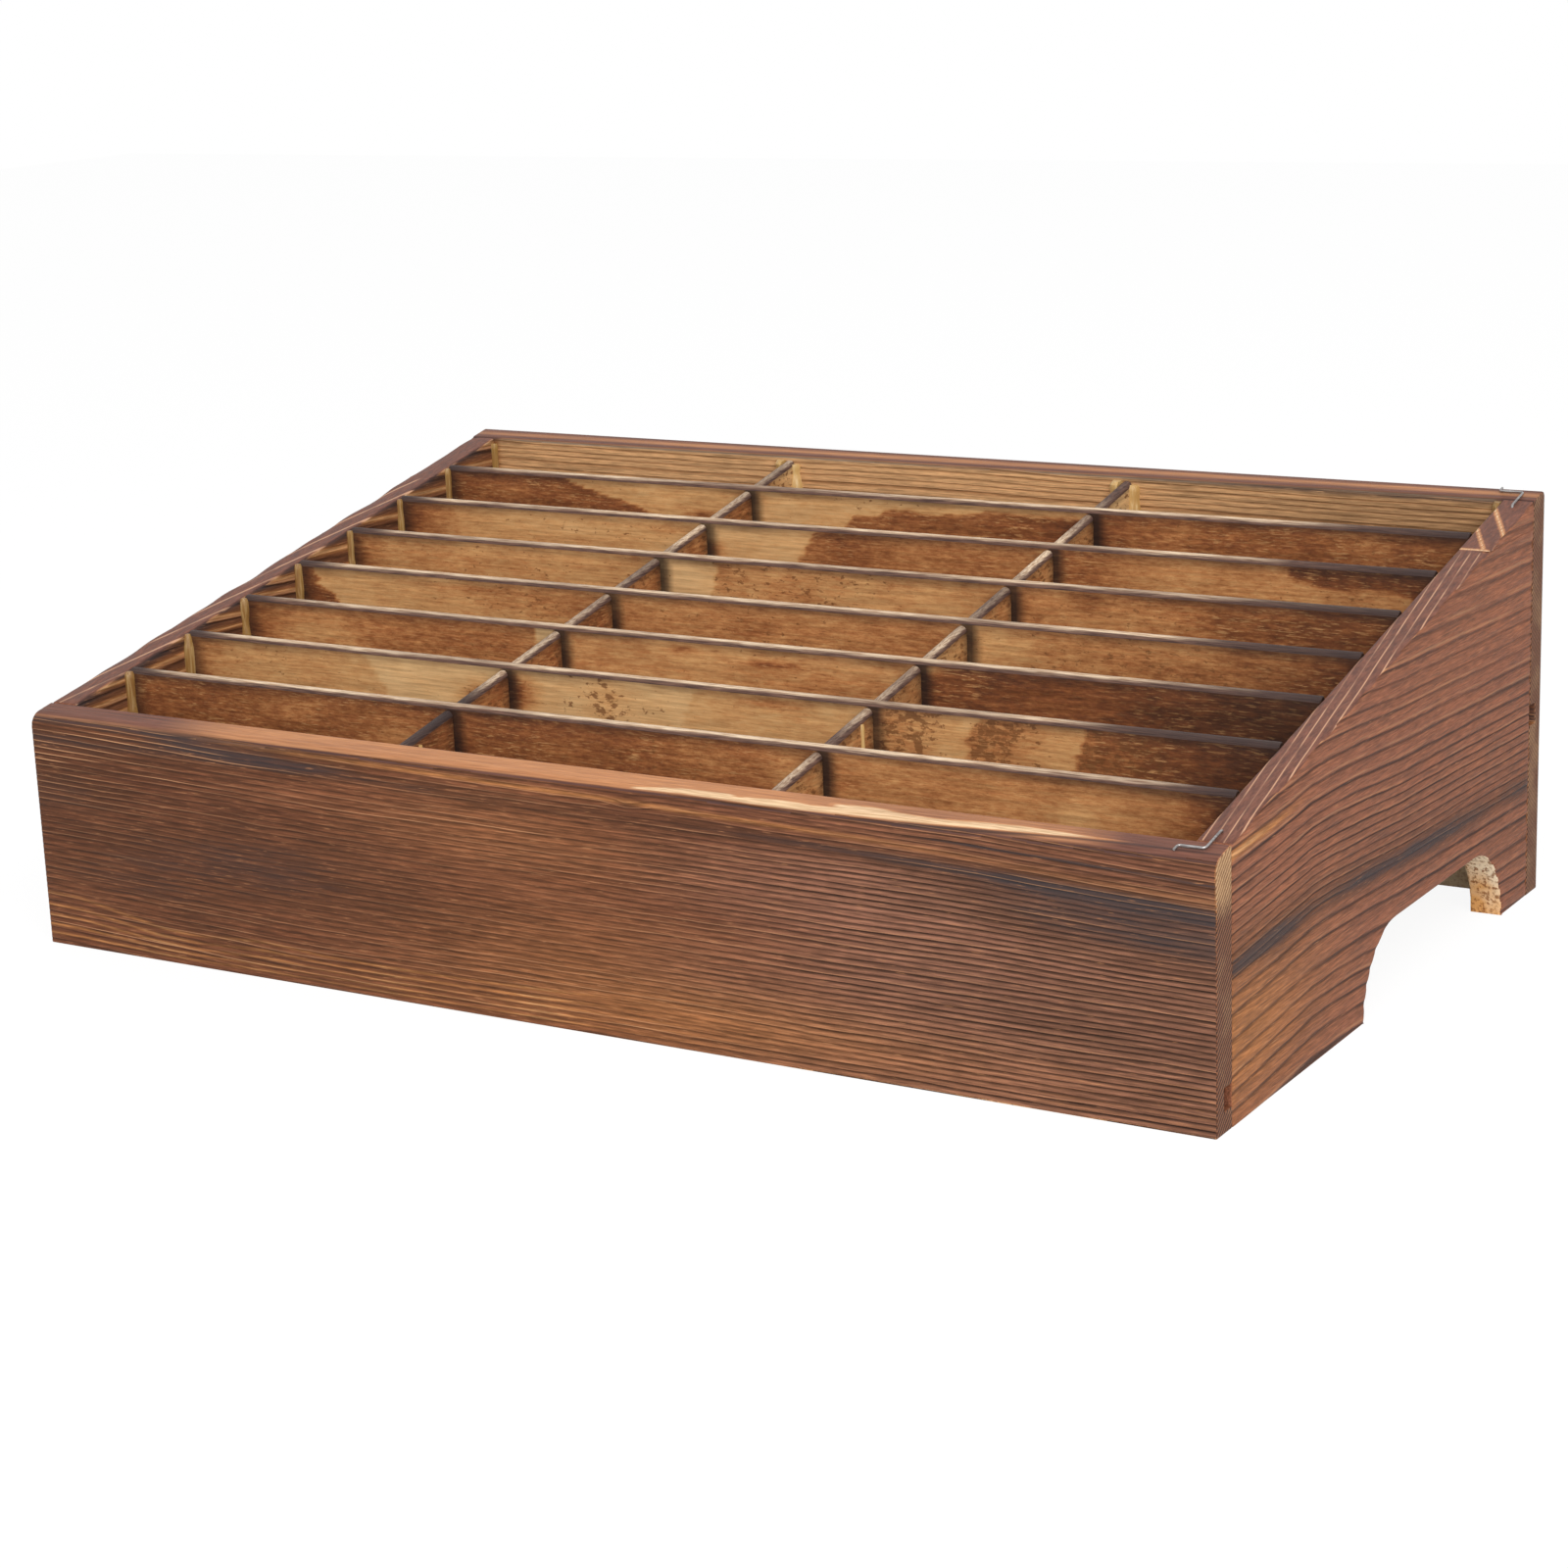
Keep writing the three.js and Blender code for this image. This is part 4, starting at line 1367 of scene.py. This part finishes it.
def column_look(number):
    """The marks of one column divider."""
    row_faces = [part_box(row)[0].y for row in row_names]
    first = number == 1

    def look(corner):
        y = corner.co.y / mm
        deep = (rim_height(corner.co.y) - corner.co.z) / mm - 1
        scorch = 0.48 + 0.24 * wander(y, 3 * corner.co.z / mm, 30, 50 + number)
        scorch -= 0.35 * rise(y, 70, 95)
        scorch += 0.3 * (1 - rise(y, -80, -76)) if first else -0.12
        to_row = min(abs(corner.co.y - face) for face in row_faces) / mm
        # Painted shade: darker in a band under the rounded top, where the rows cross and deep down.
        soot = 0.6 * stripe(deep, 3.0) + 0.5 * stripe(to_row, 3.0) + 0.25 * rise(deep, 12, 30)
        if corner.normal.z > top_tilt:
            soot = 0.28 + 0.5 * wander(y, number, 30, 43)
            soot += (0.6 if first else -0.3) * rise(-y, 60, 85)
        return scorch, column_specks, soot, rounding(corner.normal.x, corner.normal.z)

    return look


def mark_divider(piece, look):
    """Writes the marks that look gives for each point of a divider."""
    found = [look(corner) for corner in piece.data.vertices]
    write_values(piece, dict(zip(ply_marks, zip(*found))))
    smooth_faces(piece)


for number, piece in enumerate(rows, start=1):
    mark_divider(piece, row_look(number))
for number, piece in enumerate(columns, start=1):
    mark_divider(piece, column_look(number))
print("marks written to", len(rows) + len(columns), "dividers:", ", ".join(ply_marks))

# %% [markdown]
# Scorched plywood goes from parchment tan over orange to a red-brown, like toast, so the marks are
# read as a place on a row of colours. Blotchy noise makes the borders ragged, and short dashes of
# the other colour break up both sides, as where a flame skips over the open grain. The rounded
# tops carry a pale painted highlight along the crown, and painted shade on their front and back.

# %% Scorched plywood


def ramp(tree, value, stops):
    """Reads a colour from a row of places and colours."""
    node = add_node(tree, "ShaderNodeValToRGB", {0: value})
    row = node.color_ramp.elements
    while len(row) < len(stops):
        row.new(0.5)
    for element, (place, colour) in zip(row, stops):
        element.position = place
        element.color = colour
    return node.outputs["Color"]


toasting = [(0.0, rgb(0.73, 0.46, 0.215)), (0.2, rgb(0.61, 0.325, 0.13)),
            (0.38, rgb(0.47, 0.205, 0.075)), (0.56, rgb(0.33, 0.122, 0.043)),
            (0.76, rgb(0.21, 0.07, 0.027)), (1.0, rgb(0.11, 0.04, 0.02))]


def scorched_plywood(name, along):
    material, tree, shader = new_material(name, gloss=0.08)
    fibre = grain_noise(tree, along, 60, 1300, 3)
    blotch = grain_noise(tree, along, 60, 130, 6, 0.62)
    mottle = grain_noise(tree, along, 260, 900, 5, 0.7)
    dots = grain_noise(tree, along, 430, 800, 3, 0.6)
    fleck = grain_noise(tree, along, 260, 2000, 3, 0.65)
    spread = grain_noise(tree, along, 45, 90, 3)
    level = plus(tree, mark(tree, "scorch"), scale_to(tree, blotch, 0.2, 0.8, -0.13, 0.13))
    level = plus(tree, level, times(tree, scale_to(tree, mottle, 0.25, 0.75, -1.0, 1.0),
                                    scale_to(tree, level, 0.1, 0.5, 0.05, 0.26)))
    colour = ramp(tree, level, toasting)
    dense = plus(tree, dots, times(tree, mark(tree, "specks"), 0.26))
    colour = mix(tree, scale_to(tree, dense, 0.70, 0.77, 0.0, 0.8), colour, rgb(0.19, 0.075, 0.028))
    browned = scale_to(tree, level, 0.25, 0.6, 0.1, 1.0)
    dashes = times(tree, scale_to(tree, fleck, 0.54, 0.66), browned,
                   scale_to(tree, spread, 0.38, 0.58, 0.15, 0.95))
    colour = mix(tree, dashes, colour, rgb(0.54, 0.275, 0.11))
    skipped = times(tree, scale_to(tree, fleck, 0.4, 0.32), scale_to(tree, level, 0.12, 0.4, 0.0, 0.6))
    colour = mix(tree, skipped, colour, rgb(0.19, 0.07, 0.028))
    colour = vary(tree, colour, fibre, 0.82, 1.18)
    # The soot mark takes the wood towards near black: painted shade in the cells' corners, under the
    # tops and deep down, and darker towards the walls.
    soot_and_shade = plus(tree, mark(tree, "soot"), scale_to(tree, blotch, 0.25, 0.75, -0.1, 0.1))
    colour = mix(tree, scale_to(tree, soot_and_shade, 0.08, 0.95, 0.0, 0.94), colour, rgb(0.024, 0.016, 0.014))

    gloss = scale_to(tree, fibre, 0.3, 0.7, 0.42, 0.6)
    finish_surface(tree, shader, colour, gloss, plus(tree, fibre, fleck), 0.12 * mm)
    return material


def plywood_edge(name, along):
    material, tree, shader = new_material(name)
    fibre = grain_noise(tree, along, 50, 1900, 3)
    splinter = grain_noise(tree, along, 140, 2600, 2)
    cloud = grain_noise(tree, along, 12, 40, 3)
    soot_and_shade_mark = mark(tree, "soot")
    # Painted light on the rounded top: a pale painted highlight along the crown, and painted shade in
    # the darker colour on the front and back; the soot mark dims the highlight and darkens the edge.
    turned = plus(tree, mark(tree, "round"), scale_to(tree, fibre, 0.3, 0.7, -0.16, 0.16))
    highlight_share = reckon(tree, "SUBTRACT", scale_to(tree, cloud, 0.34, 0.56, 0.3, 1.1),
                  scale_to(tree, soot_and_shade_mark, 0.1, 0.8))
    crown_highlight = times(tree, scale_to(tree, turned, 0.66, 0.34), scale_to(tree, turned, -0.6, -0.3),
                  scale_to(tree, highlight_share, 0.0, 1.0))
    shade_streak = scale_to(tree, splinter, 0.35, 0.65)
    highlight_streak = scale_to(tree, splinter, 0.35, 0.6)
    shaded_sides = mix(tree, shade_streak, rgb(0.08, 0.045, 0.037), rgb(0.20, 0.11, 0.08))
    pale = mix(tree, highlight_streak, rgb(0.44, 0.27, 0.165), rgb(0.84, 0.65, 0.455))
    colour = mix(tree, crown_highlight, shaded_sides, pale)
    soot_and_shade_cover = scale_to(tree, soot_and_shade_mark, 0.2, 1.0, 0.0, 0.9)
    colour = mix(tree, soot_and_shade_cover, colour, rgb(0.042, 0.029, 0.028))
    gloss = scale_to(tree, fibre, 0.3, 0.7, 0.42, 0.6)
    finish_surface(tree, shader, colour, gloss, plus(tree, fibre, splinter), 0.3 * mm)
    return material


def is_rounded_top(face):
    return face.normal.z > 0.12


row_ply = scorched_plywood("scorched_row_plywood", along_x)
column_ply = scorched_plywood("scorched_column_plywood", along_y)
row_edge = plywood_edge("row_plywood_edge", along_x)
column_edge = plywood_edge("column_plywood_edge", along_y)

for piece in rows:
    give_wood(piece, row_ply, [(row_edge, is_rounded_top)])
for piece in columns:
    give_wood(piece, column_ply, [(column_edge, is_rounded_top)])
for piece in rows + columns:
    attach(piece, "root")
    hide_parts(piece.name.removesuffix("_ply"))
print("dividers dressed")

# %% [markdown]
# The bottom panel is bare plywood, pale and sanded, and the corner staples are bright drawn wire.
# Their measured shapes are right as they are, so only their finish is made here.

# %% Bottom panel and staples


def bare_plywood(name):
    material, tree, shader = new_material(name)
    fibre = grain_noise(tree, along_x, 22, 700, 3)
    cloud = grain_noise(tree, along_x, 9, 40, 3)
    colour = mix(tree, scale_to(tree, cloud, 0.3, 0.7), rgb(0.70, 0.47, 0.26), rgb(0.58, 0.35, 0.17))
    colour = mix(tree, scale_to(tree, fibre, 0.5, 0.75, 0.0, 0.5), colour, rgb(0.30, 0.155, 0.07))
    gloss = scale_to(tree, fibre, 0.3, 0.7, 0.6, 0.8)
    finish_surface(tree, shader, colour, gloss, fibre, 0.12 * mm)
    return material


def staple_wire(name):
    material, tree, shader = new_material(name, gloss=0.5)
    scratch = grain_noise(tree, along_x, 300, 2500, 2)
    worn = scale_to(tree, scratch, 0.35, 0.65)
    colour = mix(tree, worn, rgb(0.24, 0.225, 0.22), rgb(0.46, 0.44, 0.43))
    shader.inputs["Metallic"].default_value = 1.0
    gloss = scale_to(tree, scratch, 0.3, 0.7, 0.34, 0.5)
    finish_surface(tree, shader, colour, gloss, scratch, 0.05 * mm)
    return material


pale_ply = bare_plywood("bare_panel_plywood")
wire = staple_wire("bright_staple_wire")
kept_nodes = {"bottom_panel": pale_ply}
kept_nodes.update({name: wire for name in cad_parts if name.startswith("staple_")})
for name, material in kept_nodes.items():
    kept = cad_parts[name].data
    kept.materials.clear()
    kept.materials.append(material)
print("kept as measured:", sorted(kept_nodes))

# %% [markdown]
# Glue holds the grid: dried beads stand in the corners where dividers meet the boards, and a few
# thin pale runs trickled down beside them. A bead is a cylinder centred on the corner with all but
# one quarter sawn away, a bit uneven along its length and narrower at its top. One is modelled, and
# the next step copies it, since all came from the same nozzle.

# %% Glue and its first bead
bead_radius = 2.3 * mm
bead_length = 44 * mm
bead_sides = 40
bead_slice = 1 * mm
bead_gap = 0.02 * mm


def dried_glue(name, thin, thick, streak):
    material, tree, shader = new_material(name, gloss=0.4)
    cloud = grain_noise(tree, along_z, 60, 260, 4)
    streaks = grain_noise(tree, along_z, 90, 1500, 3)
    colour = mix(tree, scale_to(tree, cloud, 0.35, 0.65), thin, thick)
    colour = mix(tree, scale_to(tree, streaks, 0.5, 0.66, 0.0, 0.7), colour, streak)
    gloss = scale_to(tree, cloud, 0.3, 0.7, 0.3, 0.5)
    finish_surface(tree, shader, colour, gloss, streaks, 0.25 * mm)
    return material


def make_first_bead():
    bpy.ops.object.select_all(action="DESELECT")
    bpy.ops.mesh.primitive_cylinder_add(vertices=bead_sides, radius=bead_radius, depth=bead_length,
                                        location=(0, 0, -bead_length / 2))
    bead = bpy.context.object
    bead.name = "first_bead"
    bpy.ops.object.transform_apply(location=True, rotation=True, scale=True)
    saw_off(bead, Vector((bead_gap, 0, 0)), Vector((-1, 0, 0)))
    saw_off(bead, Vector((0, -bead_gap, 0)), Vector((0, 1, 0)))
    slice_evenly(bead, along_z, bead_slice)
    return bead


glue = dried_glue(
    "dried_glue_bead", rgb(0.36, 0.20, 0.055), rgb(0.24, 0.11, 0.03), rgb(0.50, 0.33, 0.14))
pale_glue = dried_glue(
    "pale_glue_run", rgb(0.66, 0.42, 0.16), rgb(0.52, 0.29, 0.09), rgb(0.74, 0.53, 0.26))
first_bead = make_first_bead()
print("first bead:", len(first_bead.data.polygons), "faces")

# %% [markdown]
# Each copy is a mesh of its own, turned into its corner by two signs: a quarter faces right or left,
# and back or front. Turning a mesh over like that points its faces inwards, so they are flipped
# where the two signs call for it. Noise makes every bead swell in its own places.

# %% Glue in the corners
beads = []


def copy_bead(name, place, to_right, to_back, seed, size=1.0, material=glue):
    """A copy in a corner; the two signs say which way the quarter faces."""
    corner = Vector(place)
    bead = first_bead.copy()
    bead.data = first_bead.data.copy()
    bead.name = name
    bpy.context.scene.collection.objects.link(bead)
    for point in bead.data.vertices:
        down = -point.co.z / mm
        swell = 0.85 + 0.28 * wander(point.co.z / mm, 0, 5, seed) + 0.15 * rise(down, 20, 40)
        across = size * swell * (0.8 + 0.2 * rise(down, 0.0, 0.8))
        point.co.x = corner.x + to_right * point.co.x * across
        point.co.y = corner.y - to_back * point.co.y * across
        point.co.z += corner.z + 0.6 * mm * wander(seed, 0, 1, 61)
    if to_right * to_back > 0:
        bead.data.flip_normals()
    bead.data.materials.append(material)
    smooth_faces(bead)
    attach(bead, "root")
    beads.append(bead)


left_wall, right_wall = cell_edges[0][0], cell_edges[2][1]
front_wall, back_wall = front_high.y, back_low.y
front_top = rim_height(front_wall) - 3 * mm
back_top = rim_height(back_wall) - 1.6 * mm
for number, row in enumerate(row_names, start=1):
    low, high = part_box(row)
    place = left_wall, low.y, high.z - 0.8 * mm
    copy_bead(f"glue_left_{number}", place, 1, -1, number, 1.0 - 0.05 * number)
copy_bead("glue_back_left", (left_wall, back_wall, back_top), 1, -1, 8, 0.75)
copy_bead("glue_back_right", (right_wall, back_wall, back_top + 1.2 * mm), -1, -1, 28, 1.3)
for number, column in enumerate(column_names, start=1):
    left, right = (corner.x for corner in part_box(column))
    name = f"column_{number}"
    place = left, back_wall, back_top + 0.5 * mm
    copy_bead(f"glue_back_{name}_left", place, -1, -1, 40 + number, 1.8, pale_glue)
    place = right, back_wall, back_top - 0.5 * mm
    copy_bead(f"glue_back_{name}_right", place, 1, -1, 44 + number, 1.1, pale_glue)
    copy_bead(f"glue_front_{name}_right", (right, front_wall, front_top), 1, 1, 48 + number)
    copy_bead(f"glue_front_{name}_left", (left, front_wall, front_top), -1, 1, 52 + number)
first_column, second_column = (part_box(name)[1] for name in column_names)
for number, (back, size) in enumerate(((4.6 * mm, 0.36), (7.4 * mm, 0.42)), start=1):
    place = first_column.x, front_wall + back, front_top + 1 * mm
    copy_bead(f"glue_run_front_{number}", place, 1, -1, 56 + number, size, pale_glue)
second_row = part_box(row_names[1])
place = second_column.x, second_row[0].y - 6 * mm, second_row[1].z - 4.5 * mm
copy_bead("glue_run_second_row", place, 1, -1, 60, 0.34, pale_glue)
bpy.data.objects.remove(first_bead)
print("glue beads:", len(beads))
